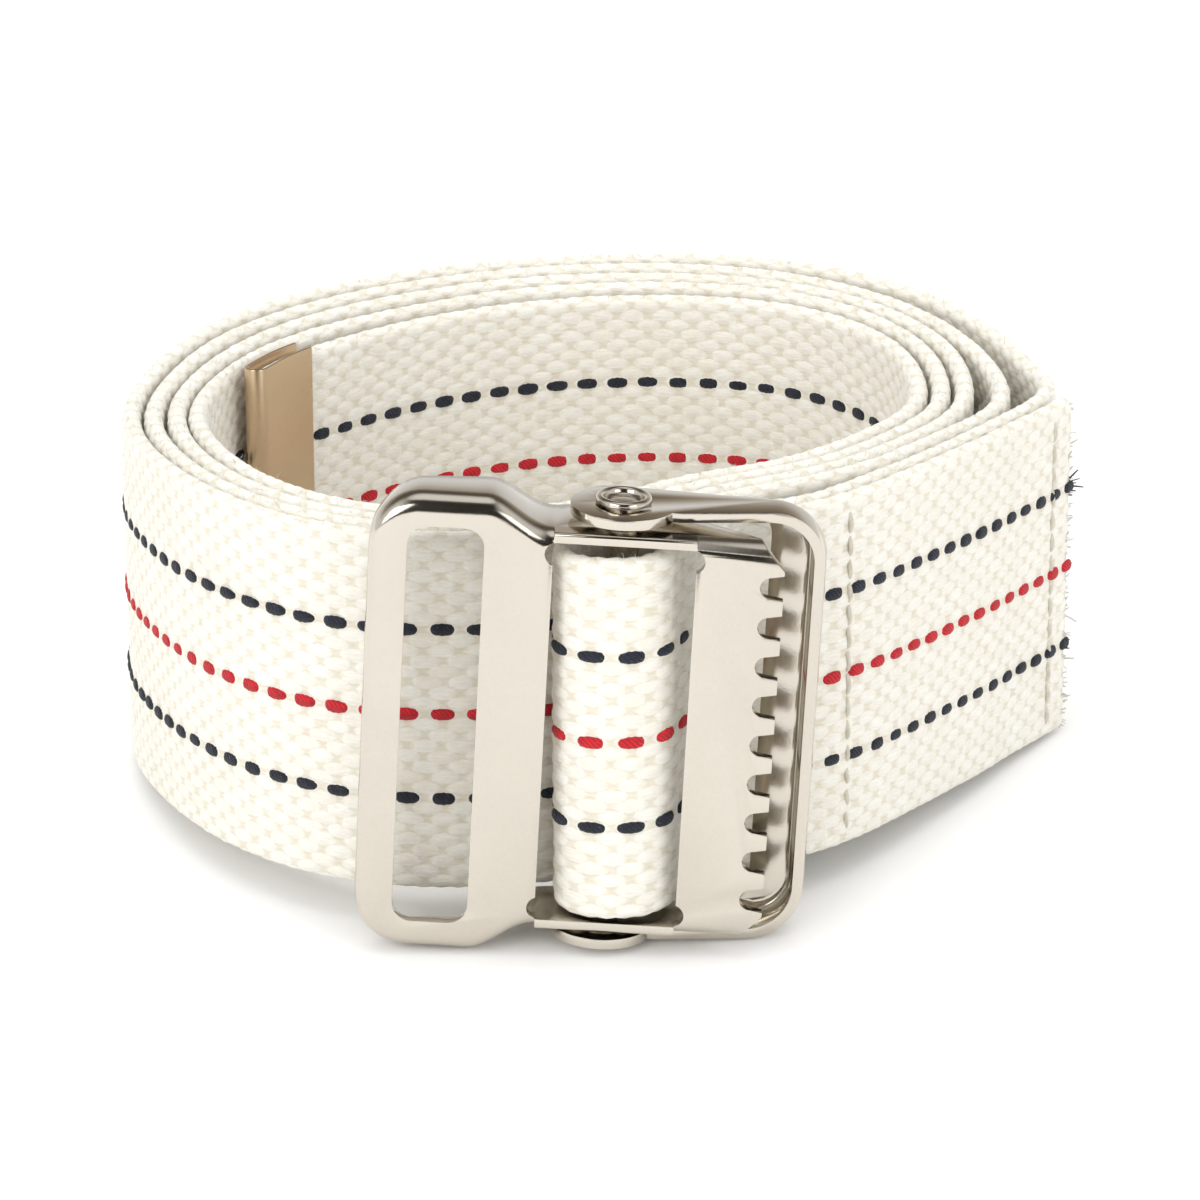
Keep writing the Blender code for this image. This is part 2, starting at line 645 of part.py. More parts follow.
def build():
    clear_scene()
    line = strap_line()
    total = distances(line)
    build_strap(line, total)
    build_tip(line, total)
    rows = (
        ("stitch_row_near_needle", distance_to(line, total, NEAR_NEEDLE, 0.0, 90.0)),
        ("stitch_row_near_bobbin", distance_to(line, total, NEAR_BOBBIN, 120.0, 200.0)),
        ("stitch_row_end_needle", STITCH_END),
        ("stitch_row_end_bobbin", distance_to(line, total, END_BOBBIN, 120.0, 260.0)),
    )
    for name, where in rows:
        build_stitches(name, line, total, where)
    build_pin()
    build_frame()
    build_lever()


build()
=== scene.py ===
"""Gait belt: coiled striped cotton webbing with a toothed metal buckle, finished for rendering.

The webbing is one woven strap whose warp yarns stand up in the mesh itself.  Three coloured yarns show on
each of its faces.  The buckle plates, rivet, metal tip and sewing threads replace their plain CAD solids.
Lengths are in millimetres until they reach a mesh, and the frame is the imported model's own.
"""
import math
from functools import partial

import bmesh
import bpy
import numpy as np
from mathutils import Matrix, Vector


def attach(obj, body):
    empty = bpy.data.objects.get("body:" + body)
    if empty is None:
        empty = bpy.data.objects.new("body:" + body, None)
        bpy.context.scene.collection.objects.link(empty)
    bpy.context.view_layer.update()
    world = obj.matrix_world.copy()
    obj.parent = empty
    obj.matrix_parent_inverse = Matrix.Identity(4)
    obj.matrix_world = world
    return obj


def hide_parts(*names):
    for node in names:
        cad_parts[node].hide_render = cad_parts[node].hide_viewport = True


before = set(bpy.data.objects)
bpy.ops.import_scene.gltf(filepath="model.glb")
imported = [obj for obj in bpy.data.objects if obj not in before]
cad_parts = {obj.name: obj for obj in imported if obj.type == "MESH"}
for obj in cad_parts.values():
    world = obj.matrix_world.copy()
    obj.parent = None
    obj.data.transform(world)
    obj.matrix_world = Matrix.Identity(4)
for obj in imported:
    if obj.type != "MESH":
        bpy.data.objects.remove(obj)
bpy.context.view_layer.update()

MM = 0.001

# ---- sizes shared with the CAD solids
# Plates are drawn about the pin: x to the right, y to the back, z up, before they turn to rest.
WEB_WIDTH = 50.8
WEB_THICK = 2.6
WEB_CRIMPED = 1.9         # inside the metal tip
PIN = (1.73, -68.62, 31.5)
LEAN = 3.0                # degrees the pin leans to the right
LIFT = 5.6                # rise of the strap from the back of the coil to the buckle
LIFT_FRONT = -58.0
LIFT_BACK = 30.0
CENTRE_X = -0.23          # from the strap's own plan to the frame
CENTRE_Y = 8.62
SHEET = 1.35              # thickness of both plates
SHAFT_R = 2.3
BORE_R = 2.65
HEAD_R = 3.7
HEAD_GAP = 0.3
LEVER_ANGLE = -1.5
LEVER_FRONT = -6.6
LEVER_BACK = 8.0
LEVER_LEFT = -32.7
LEVER_TALL = 32.0         # half height at the handle
LEVER_LOW = 27.9          # half height at the window
LEVER_CORNER = 7.0
LEVER_ROLL = 2.0
NECK_LEFT = -17.5         # the height changes between these two
NECK_RIGHT = -8.7
BEND = 2.6
LIP_BEND = 0.45
LIP_INSIDE = 0.15
WINDOW_LEFT = -8.7
WINDOW_RIGHT = 9.9
RELIEF_R = 1.6
RELIEF_IN = 0.5
EYE_R = 7.2
SLOT_LEFT = -27.6
SLOT_RIGHT = -17.6
SLOT_HALF = 27.8
SLOT_CORNER = 2.6
TOOTH_PITCH = 5.5
TOOTH_COUNT = 9
NOTCH_R = 1.45
LEVER_TIPS = 21.3
LEVER_ROOTS = 18.2
FREE_CORNER = 3.4
FRAME_ANGLE = -6.4
FRAME_RIGHT = 26.5
FRAME_BACK = 8.9
FRAME_CORNER = 7.2
FRAME_BEND = 2.9
FRAME_WINDOW = 28.3
PAN_LEFT = -9.0
PAN_FRONT = -9.0
ARM_OUT = 30.2
ARM_BACK = 6.5
EAR_R = 6.9
PLATE_LEFT = 19.0
PLATE_CORNER = 3.5
PLATE_ROUND = 0.24        # rounding of the stamped edges
TIP_LONG = 11.8
TIP_GAP = 0.3
TIP_SHEET = 0.55
TIP_STICKS_OUT = 0.8      # the tip stands this much above the webbing
TIP_ROUND = 0.2
PAST = 40.0               # far enough for a cutter to go right through

# ---- the line of the strap in plan, from its cut end to its tip
FOLDED = (
    (66.0, 13.2), (62.6, 7.2), (58.4, 0.2), (53.8, -8.0), (49.0, -16.0), (44.4, -23.5), (39.6, -30.7),
    (36.0, -35.8), (32.0, -40.4), (27.2, -44.4), (22.2, -46.5), (18.0, -47.8), (15.6, -50.6),
    (12.2, -55.2), (9.4, -60.0), (7.5, -63.8), (4.7, -65.8), (1.3, -66.3), (-1.9, -65.6),
    (-4.1, -63.6), (-4.95, -60.9), (-4.0, -58.2), (-1.4, -56.4), (2.0, -55.8), (5.8, -55.0),
    (9.6, -52.5), (12.9, -48.6), (16.2, -45.2), (21.0, -43.5), (26.0, -41.3), (30.2, -37.9),
    (33.8, -33.5), (37.2, -28.7), (42.0, -21.6), (46.5, -14.3), (51.2, -6.4), (55.8, 1.6),
    (60.2, 9.5), (63.1, 16.0), (64.2, 23.0),
)
HUB = (0.0, 12.0)
# Angle round the hub in degrees and distance from it.  The later turns share their angles, a turn apart.
FIRST_TURN = ((15, 65.2), (30, 67.3), (45, 71), (60, 73.6), (75, 73.2), (90, 71), (105, 69.4), (120, 68.9),
    (135, 68.6), (150, 67.7), (165, 66.6), (180, 66.3), (195, 66.9), (210, 68.7), (225, 72), (240, 73.9),
    (250, 72.2), (260, 68.3), (270, 63.5))
STATIONS = (277, 284, 292, 302, 316, 331, 346, 358, 375, 390, 405, 420, 435, 450, 465, 480, 495, 510, 525,
    540, 555, 570, 585, 600, 610, 620, 630)
LATER_TURNS = (
    (59.7, 55.7, 52.9, 51.6, 50.4, 49.9, 52.1, 55.8, 59.2, 61.9, 65.2, 67.7, 67.7, 66.3, 64.9, 64.2, 64,
     63.7, 63.1, 63.1, 63.8, 65.6, 68.8, 70.7, 69, 65.1, 60.2),
    (56, 52.1, 49.4, 48.2, 47.2, 46.8, 48.6, 51, 54.3, 58.1, 61.5, 63.6, 63.1, 61.5, 60.2, 59.2, 59.2, 59.5,
     59.6, 60, 60.7, 62.5, 65.6, 67.5, 65.8, 61.9, 56.8),
    (52.4, 48.4, 46.1, 45, 44.1, 43.7, 45.3, 47.6, 50.8, 54.6, 57.9, 59.6, 58.6, 56.6, 54.9, 53.6, 54, 55.3,
     56.2, 56.8, 57.5, 59.3, 62.4, 64.2, 62.5, 58.5, 53.2),
    (48.7, 44.8, 42.7, 41.8, 41, 40.6, 42, 44.2, 47.4, 50.8, 53.3, 53.9, 52, 49.9, 48.4, 47.6, 47.8),
)
TO_THE_TIP = ((1587, 49.1), (1597, 50.6), (1604, 51.5))
PATH_STEPS = 40

# ---- the weave
PICK = 4.7                # one full repeat of a warp yarn along the strap
ROW = 1.5                 # distance between neighbouring warp yarns
HALF_ROWS = 16            # yarns each side of the middle one
UPPER, MIDDLE, LOWER = 8, 0, -8   # rows of the navy, red and navy yarns
EDGE = WEB_WIDTH / 2 - HALF_ROWS * ROW
YARN_RISE = 0.10          # how far a yarn's float stands above and below the middle level
YARN_STEEP = 2.4          # how sharply it goes from over to under
FLOAT_SHARE = 0.40        # above 0, a yarn lies on top for more than half its repeat
YARN_HALF = 0.90          # half width of a yarn's rounded crown, in the mesh
YARN_DEPTH = 0.24         # depth of the crown's rounding, in the mesh
FINE_HALF = 0.86          # the same two sizes in the material's finer pattern
FINE_DEPTH = 0.20
DASH_SHARE = 0.58         # the coloured yarns lie on top for longer
HIDDEN = (690.0, 1500.0)  # the strap between these is covered by the turns outside it
STITCH_LONG = 3.3
STITCH_MARGIN = 2.2
STITCH_END = 5.4          # distance of the last sewn row from the cut end
PUCKER_WIDE = 1.3
PUCKER_DEEP = 0.10
NEAR_NEEDLE = (32.6, -40.0)   # where each seam meets the strap in plan
NEAR_BOBBIN = (30.2, -37.9)
END_BOBBIN = (60.4, 9.6)
FRAY_FROM = 0.9           # frayed ends start this far inside the cut
LOW_CORNER = -13          # the rows below this one fray more

# ---- the camera and the lights
SENSOR = 36.0
LENS = 170.88
CAMERA_TILT = 20.8
CAMERA_BACK = 0.808
CAMERA_TARGET = (0.00023, -0.00862, 0.0254)
LIGHTS = (
    ("key", (-0.85, -1.15, 0.75), (0.0, 0.0, 0.02), 0.9, 7.5),
    ("fill", (0.90, -1.15, 0.55), (0.0, 0.0, 0.02), 0.8, 3.2),
    ("top", (0.05, 0.10, 1.5), (0.0, 0.0, 0.0), 1.5, 7.0),
)
WHITE = (1.0, 1.0, 1.0)
WARM = (1.0, 0.86, 0.70)  # tint of the darker reflections
WARM_BELOW = 0.55


# ---- small tools
def spline(points, steps):
    """A smooth curve through points, with natural ends, sampled evenly between each pair."""
    knots = np.array(points, float)
    gaps = np.linalg.norm(np.diff(knots, axis=0), axis=1)
    count = len(knots)
    system = np.zeros((count, count))
    right = np.zeros((count, 2))
    system[0, 0] = system[-1, -1] = 1.0
    for i in range(1, count - 1):
        system[i, i - 1:i + 2] = gaps[i - 1], 2 * (gaps[i - 1] + gaps[i]), gaps[i]
        right[i] = 6 * ((knots[i + 1] - knots[i]) / gaps[i] - (knots[i] - knots[i - 1]) / gaps[i - 1])
    second = np.linalg.solve(system, right)
    u = (np.arange(steps) / steps)[None, :, None]
    v = 1 - u
    size = gaps[:, None, None] ** 2 / 6
    line = (v * knots[:-1, None] + u * knots[1:, None]
            + size * ((v ** 3 - v) * second[:-1, None] + (u ** 3 - u) * second[1:, None]))
    return np.vstack([line.reshape(-1, 2), knots[-1]])


def strap_line():
    """The strap's middle line in plan: the folded end, then the turns of the coil."""
    points = list(FOLDED)
    polar = list(FIRST_TURN)
    for turn, radii in enumerate(LATER_TURNS):
        polar += [(angle + 360 * turn, radius) for angle, radius in zip(STATIONS, radii)]
    for angle, radius in polar + list(TO_THE_TIP):
        bearing = math.radians(angle)
        points.append((HUB[0] + radius * math.cos(bearing), HUB[1] + radius * math.sin(bearing)))
    return spline(points, PATH_STEPS)


LINE = strap_line()
TOTAL = np.concatenate([[0.0], np.cumsum(np.linalg.norm(np.diff(LINE, axis=0), axis=1))])
LENGTH = float(TOTAL[-1])
HEADING = np.gradient(LINE, axis=0)
HEADING /= np.linalg.norm(HEADING, axis=1)[:, None]


def smooth_step(x):
    """From 0 to 1 with level ends."""
    x = np.clip(x, 0.0, 1.0)
    return x * x * (3 - 2 * x)


def lift_at(y):
    """The strap's lower edge rises towards the buckle."""
    return LIFT * smooth_step((LIFT_BACK - y) / (LIFT_BACK - LIFT_FRONT))


def at(where):
    """Centre, heading and lift of the strap at distances along it."""
    where = np.asarray(where, float)
    inside = np.clip(where, 0.0, LENGTH)
    x = np.interp(inside, TOTAL, LINE[:, 0])
    y = np.interp(inside, TOTAL, LINE[:, 1])
    dx = np.interp(inside, TOTAL, HEADING[:, 0])
    dy = np.interp(inside, TOTAL, HEADING[:, 1])
    size = np.hypot(dx, dy)
    dx, dy = dx / size, dy / size
    over = where - inside
    return x + dx * over, y + dy * over, dx, dy, lift_at(y)


def place(where, out, up):
    """Points in the frame from a distance along, an offset across the thickness and a height on the strap."""
    x, y, dx, dy, base = at(where)
    return np.stack([x + dy * out - CENTRE_X, y - dx * out - CENTRE_Y, base + up], -1)


def half_thick(where):
    """Half of the webbing's thickness, squeezed inside the tip."""
    ease = 4.0
    share = smooth_step((np.asarray(where) - (LENGTH - TIP_LONG - ease)) / ease)
    return 0.5 * (WEB_THICK + (WEB_CRIMPED - WEB_THICK) * share)


def near_distance(target, low, high):
    """Distance along the strap, between two limits, of its nearest place to a point in plan."""
    gap = np.hypot(LINE[:, 0] - target[0], LINE[:, 1] - target[1])
    gap[(TOTAL < low) | (TOTAL > high)] = 1e9
    return float(TOTAL[int(np.argmin(gap))])


STITCH_ROWS = {
    "stitch_row_near_needle": near_distance(NEAR_NEEDLE, 0.0, 90.0),
    "stitch_row_near_bobbin": near_distance(NEAR_BOBBIN, 120.0, 200.0),
    "stitch_row_end_needle": STITCH_END,
    "stitch_row_end_bobbin": near_distance(END_BOBBIN, 120.0, 260.0),
}


def scatter(*values):
    """A repeatable number from 0 to 1 for each set of values."""
    mix = np.zeros(np.broadcast(*values).shape)
    for i, value in enumerate(values):
        mix = mix + np.asarray(value) * (12.9898, 78.233, 37.719, 19.17)[i]
    mix = np.sin(mix) * 43758.5453
    return mix - np.floor(mix)


def mesh_object(name, points, faces, smooth=True):
    """An object from points in millimetres and an array or list of faces."""
    mesh = bpy.data.meshes.new(name)
    points = np.asarray(points, float).reshape(-1, 3) * MM
    if isinstance(faces, np.ndarray):
        loops = faces.size
        mesh.vertices.add(len(points))
        mesh.vertices.foreach_set("co", points.ravel())
        mesh.loops.add(loops)
        mesh.loops.foreach_set("vertex_index", faces.ravel().astype(np.int32))
        mesh.polygons.add(len(faces))
        mesh.polygons.foreach_set("loop_start", np.arange(0, loops, faces.shape[1], dtype=np.int32))
        mesh.update(calc_edges=True)
        mesh.validate()
    else:
        mesh.from_pydata([tuple(p) for p in points], [], faces)
        mesh.update()
    if smooth:
        mesh.shade_smooth()
    made = bpy.data.objects.new(name, mesh)
    bpy.context.scene.collection.objects.link(made)
    return made


def grid_faces(rings, around, first=0):
    """Quads joining neighbouring closed rings of points."""
    ring = np.arange(rings - 1)[:, None] * around + first
    here = np.arange(around)[None, :]
    ahead = (here + 1) % around
    return np.stack([ring + here, ring + ahead, ring + around + ahead, ring + around + here],
                    -1).reshape(-1, 4)


def as_tuples(faces):
    return [tuple(int(i) for i in face) for face in faces]


def reshape(made, *steps):
    """Run a few editing steps on the object's mesh."""
    bm = bmesh.new()
    bm.from_mesh(made.data)
    for step in steps:
        step(bm)
    bm.to_mesh(made.data)
    bm.free()


def face_out(bm):
    bmesh.ops.recalc_face_normals(bm, faces=bm.faces)


def merge_within(distance):
    return lambda bm: bmesh.ops.remove_doubles(bm, verts=bm.verts, dist=distance)


def tube(path, across, upward, wide, tall, around, first=0):
    """A closed tube: rings round each point of the path, with half widths along two directions."""
    angle = 2 * np.pi * np.arange(around) / around
    ring = (path[:, None, :]
            + across[:, None, :] * (np.cos(angle)[None, :] * wide[:, None])[..., None]
            + upward[:, None, :] * (np.sin(angle)[None, :] * tall[:, None])[..., None])
    count = len(path)
    points = np.vstack([ring.reshape(-1, 3), path[:1], path[-1:]])
    faces = grid_faces(count, around, first)
    here = np.arange(around)
    ahead = (here + 1) % around
    start = first + count * around
    last = first + (count - 1) * around
    caps = [(start, first + b, first + a) for a, b in zip(here, ahead)]
    caps += [(start + 1, last + a, last + b) for a, b in zip(here, ahead)]
    return points, faces, caps


# ---- materials
class Nodes:
    """A few short ways to add shader nodes to one material."""

    def __init__(self, name):
        self.material = bpy.data.materials.new(name)
        self.material.use_nodes = True
        self.tree = self.material.node_tree
        self.shader = self.tree.nodes["Principled BSDF"]

    def add(self, kind, **values):
        node = self.tree.nodes.new(kind)
        for key, value in values.items():
            setattr(node, key, value)
        return node

    def link(self, a, b):
        self.tree.links.new(a, b)

    def noise(self, vector, scale, detail=3.0, rough=0.5):
        node = self.add("ShaderNodeTexNoise")
        node.inputs["Scale"].default_value = scale
        node.inputs["Detail"].default_value = detail
        node.inputs["Roughness"].default_value = rough
        self.link(vector, node.inputs["Vector"])
        return node.outputs["Fac"]

    def stretch(self, vector, scale):
        node = self.add("ShaderNodeMapping")
        node.inputs["Scale"].default_value = scale
        self.link(vector, node.inputs["Vector"])
        return node.outputs["Vector"]

    def ramp(self, value, low, high, dark, light):
        node = self.add("ShaderNodeValToRGB")
        node.color_ramp.elements[0].position = low
        node.color_ramp.elements[1].position = high
        node.color_ramp.elements[0].color = (*dark, 1.0)
        node.color_ramp.elements[1].color = (*light, 1.0)
        self.link(value, node.inputs["Fac"])
        return node.outputs["Color"]

    def spread(self, value, low, high):
        node = self.add("ShaderNodeMapRange")
        node.inputs["To Min"].default_value = low
        node.inputs["To Max"].default_value = high
        self.link(value, node.inputs["Value"])
        return node.outputs["Result"]

    def mix(self, kind, a, b, share):
        node = self.add("ShaderNodeMix", data_type="RGBA", blend_type=kind)
        node.inputs["Factor"].default_value = share
        self.link(a, node.inputs["A"])
        self.link(b, node.inputs["B"])
        return node.outputs["Result"]

    def maths(self, kind, a, b):
        node = self.add("ShaderNodeMath", operation=kind)
        for socket, value in zip(node.inputs, (a, b)):
            if isinstance(value, (int, float)):
                socket.default_value = value
            else:
                self.link(value, socket)
        return node.outputs["Value"]

    def bump(self, height, strength, distance):
        node = self.add("ShaderNodeBump")
        node.inputs["Strength"].default_value = strength
        node.inputs["Distance"].default_value = distance
        self.link(height, node.inputs["Height"])
        self.link(node.outputs["Normal"], self.shader.inputs["Normal"])

    def set(self, **values):
        for key, value in values.items():
            self.shader.inputs[key.replace("_", " ")].default_value = value


def yarn_material(name, dark, light, flecks=0.0, twist=1000.0):
    """Spun yarn: fibres that wind round it, with painted shade in the grooves between them, soft colour
    changes and a little pale fluff.
    """
    n = Nodes(name)
    uv = n.add("ShaderNodeUVMap", uv_map="along").outputs["UV"]
    spot = n.add("ShaderNodeTexCoord").outputs["Object"]
    wave = n.add("ShaderNodeTexWave", wave_type="BANDS", bands_direction="DIAGONAL")
    wave.inputs["Scale"].default_value = 1.0
    wave.inputs["Distortion"].default_value = 2.0
    wave.inputs["Detail"].default_value = 2.0
    n.link(n.stretch(uv, (twist, twist * 1.35, 1.0)), wave.inputs["Vector"])
    soft = n.noise(spot, 900.0, 4.0)
    colour = n.ramp(soft, 0.3, 0.72, dark, light)
    # Painted shade: the grooves between the wound fibres, low in the bump below, are darkened in the colour.
    strands = n.ramp(wave.outputs["Fac"], 0.05, 0.7, (0.50, 0.50, 0.50), WHITE)
    colour = n.mix("MULTIPLY", colour, strands, 0.8)
    if flecks:
        fluff = n.noise(n.stretch(spot, (1.0, 1.0, 2.2)), 2600.0, 2.0)
        pale = n.ramp(fluff, 0.66, 0.76, (0.0, 0.0, 0.0), (flecks, flecks, flecks * 0.97))
        colour = n.mix("ADD", colour, pale, 1.0)
    n.link(colour, n.shader.inputs["Base Color"])
    n.link(n.spread(soft, 0.72, 0.96), n.shader.inputs["Roughness"])
    n.set(Sheen_Weight=0.08, Sheen_Roughness=0.5)
    n.bump(n.maths("ADD", wave.outputs["Fac"], n.maths("MULTIPLY", soft, 0.8)), 0.55, 0.00018)
    return n.material


def cotton_material():
    """Heavy undyed cotton webbing with fine spun fibres, and painted shade that makes the hollows and seams
    between yarns darker and warmer than the yarn crowns.
    """
    n = Nodes("cotton_webbing")
    plus, less, times = (partial(n.maths, kind) for kind in ("ADD", "SUBTRACT", "MULTIPLY"))
    uv = n.add("ShaderNodeUVMap", uv_map="along").outputs["UV"]
    spot = n.add("ShaderNodeTexCoord").outputs["Object"]
    split = n.add("ShaderNodeSeparateXYZ")
    n.link(uv, split.inputs["Vector"])
    wander = n.spread(n.noise(spot, 330.0, 3.0), -0.22, 0.22)
    run = plus(n.maths("DIVIDE", split.outputs["X"], PICK * MM), wander)
    climb = n.maths("DIVIDE", less(split.outputs["Y"], WEB_WIDTH / 2 * MM), ROW * MM)
    climb = plus(climb, wander)
    row = n.maths("ROUND", climb, 0.0)
    off = n.maths("ABSOLUTE", less(climb, row), 0.0)
    lined = plus(run, times(row, 0.5))
    swing = n.maths("COSINE", times(lined, 2 * math.pi), 0.0)

    def crown(swing, off):
        """Height of a yarn from its over-and-under wave and the distance to its middle."""
        over = plus(swing, FLOAT_SHARE)
        level = n.maths("TANH", times(over, YARN_STEEP), 0.0)
        reach = times(off, ROW / FINE_HALF)
        fall = n.maths("MAXIMUM", less(1.0, times(reach, reach)), 0.0)
        return plus(times(level, YARN_RISE), times(n.maths("SQRT", fall, 0.0), FINE_DEPTH))

    own = crown(swing, off)
    other = crown(times(swing, -1.0), less(1.0, off))
    top = n.maths("MAXIMUM", own, other)
    edge = n.maths("ABSOLUTE", less(own, other), 0.0)
    cell = n.add("ShaderNodeCombineXYZ")
    n.link(n.maths("FLOOR", plus(times(lined, 2.0), 0.5), 0.0), cell.inputs["X"])
    n.link(row, cell.inputs["Y"])
    n.link(n.maths("GREATER_THAN", own, other), cell.inputs["Z"])
    lot = n.add("ShaderNodeTexWhiteNoise", noise_dimensions="3D")
    n.link(cell.outputs["Vector"], lot.inputs["Vector"])
    relief = n.add("ShaderNodeAttribute", attribute_name="relief").outputs["Fac"]
    fibres = n.noise(n.stretch(uv, (640.0, 2700.0, 1.0)), 1.0, 5.0, 0.72)
    slub = n.noise(n.stretch(uv, (210.0, 667.0, 1.0)), 1.0, 2.0)
    # Painted shade: the weave's stored height darkens the cream to a warm tan in the hollows between yarns
    # and leaves the crowns paler.
    colour = n.ramp(relief, 0.05, 0.60, (0.86, 0.835, 0.765), (0.90, 0.888, 0.842))
    # Of the marks below, edge, top and fibres are painted shade: edge darkens the seams where two yarns meet,
    # top darkens the low places between crowns, and fibres darkens the grooves that sit low in the bump. The
    # two noises and slub are random tone.
    for value, low, high, dark, share in (
        (edge, 0.0, 0.045, (0.87, 0.84, 0.775), 0.8),
        (top, 0.06, 0.20, (0.95, 0.935, 0.90), 0.9),
        (n.noise(spot, 55.0, 3.0), 0.3, 0.75, (0.97, 0.96, 0.94), 1.0),
        (lot.outputs["Value"], 0.0, 1.0, (0.965, 0.95, 0.92), 0.9),
        (fibres, 0.32, 0.60, (0.87, 0.85, 0.80), 0.85),
        (slub, 0.3, 0.7, (0.96, 0.95, 0.925), 0.7),
    ):
        colour = n.mix("MULTIPLY", colour, n.ramp(value, low, high, dark, WHITE), share)
    n.link(colour, n.shader.inputs["Base Color"])
    n.link(n.spread(fibres, 0.82, 1.0), n.shader.inputs["Roughness"])
    n.set(Sheen_Weight=0.15, Sheen_Roughness=0.6)
    n.bump(plus(top, times(fibres, 0.75)), 0.6, 0.0006)
    return n.material


def metal_material(name, tint, rough_low, rough_high):
    """Plated steel: a soft satin gloss with faint rolling marks, small dings and duller patches."""
    n = Nodes(name)
    spot = n.add("ShaderNodeTexCoord").outputs["Object"]
    cloud = n.noise(spot, 45.0, 4.0, 0.6)
    fine = n.noise(spot, 2600.0, 3.0, 0.6)
    peel = n.noise(spot, 260.0, 2.0)
    dark = tuple(c * 0.93 for c in tint)
    colour = n.ramp(cloud, 0.3, 0.7, dark, tint)
    colour = n.mix("MULTIPLY", colour, n.ramp(fine, 0.3, 0.6, (0.95, 0.945, 0.935), WHITE), 0.7)
    n.link(colour, n.shader.inputs["Base Color"])
    rough = n.maths("ADD", n.maths("MULTIPLY", n.spread(cloud, rough_low, rough_high), 0.75),
                    n.maths("MULTIPLY", n.spread(fine, rough_low, rough_high), 0.25))
    n.link(rough, n.shader.inputs["Roughness"])
    n.set(Metallic=1.0)
    n.bump(n.maths("ADD", n.maths("MULTIPLY", fine, 0.25), peel), 0.22, 0.00008)
    return n.material


COTTON = cotton_material()
COTTON_YARN = yarn_material("cotton_yarn", (0.74, 0.70, 0.60), (0.88, 0.86, 0.79), twist=1800.0)
NAVY = yarn_material("navy_yarn", (0.005, 0.007, 0.014), (0.018, 0.023, 0.040), flecks=0.10)
RED = yarn_material("red_yarn", (0.46, 0.004, 0.010), (0.68, 0.012, 0.024), flecks=0.08)
THREAD = yarn_material("sewing_thread", (0.72, 0.66, 0.52), (0.88, 0.83, 0.72), twist=3000.0)
NICKEL = metal_material("satin_nickel", (0.665, 0.615, 0.535), 0.10, 0.19)
# Painted reflection: the tip's warm bronze tint stands in for the cream webbing it reflects.
TIP_METAL = metal_material("tip_metal", (0.66, 0.50, 0.335), 0.24, 0.34)


def finish(made, material, body, replaces=()):
    made.data.materials.clear()
    made.data.materials.append(material)
    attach(made, body)
    if replaces:
        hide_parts(*replaces)
    return made


def add_uv(made, u, v):
    """One UV for each vertex: the distance along the yarn or strap, and round or across it, in metres."""
    mesh = made.data
    layer = mesh.uv_layers.new(name="along")
    index = np.empty(len(mesh.loops), np.int32)
    mesh.loops.foreach_get("vertex_index", index)
    pair = np.stack([np.ravel(u)[index], np.ravel(v)[index]], -1)
    layer.data.foreach_set("uv", pair.ravel())


# ---- the webbing
def cut_places(fine, coarse, start=0.0, stop=LENGTH):
    """Distances for sections: close together where a face shows, wider between the coil's turns."""
    places = [start]
    while places[-1] < stop:
        here = places[-1]
        places.append(here + (coarse if HIDDEN[0] < here < HIDDEN[1] else fine))
    places[-1] = stop
    return np.array(places)


def yarn_height(where, row, face):
    """How far a warp yarn stands above the face's middle level, as it goes over and under."""
    phase = where / PICK + 0.5 * (row % 2)
    wobble = 0.09 * (scatter(row, face, 3.0) - 0.5) + 0.05 * np.sin(where * 0.9 + row * 2.3)
    swing = np.cos(2 * np.pi * (phase + wobble))
    grain = scatter(np.floor(phase + 0.5), row, face)
    return YARN_RISE * np.tanh(YARN_STEEP * (swing + FLOAT_SHARE)) + 0.05 * (grain - 0.5)


def relief(where, up, face):
    """Height of the woven face above or below its middle level."""
    row = np.round((up - WEB_WIDTH / 2) / ROW)
    best = np.full(np.broadcast(where, up).shape, -1.0)
    for step in (-1, 0, 1):
        near = row + step
        middle = WEB_WIDTH / 2 + near * ROW
        fall = np.clip(1 - ((up - middle) / YARN_HALF) ** 2, 0.0, 1.0)
        crown = yarn_height(where, near, face) + YARN_DEPTH * (np.sqrt(fall) - 1.0)
        best = np.maximum(best, crown)
    return best


def pucker(where, up):
    """The sewing pulls the webbing in along each row of stitches."""
    sink = np.zeros(np.broadcast(where, up).shape)
    pull = 0.75 + 0.25 * np.cos(2 * np.pi * up / STITCH_LONG)
    for row_at in STITCH_ROWS.values():
        sink = sink + np.exp(-((where - row_at) / PUCKER_WIDE) ** 2) * pull
    return -PUCKER_DEEP * sink


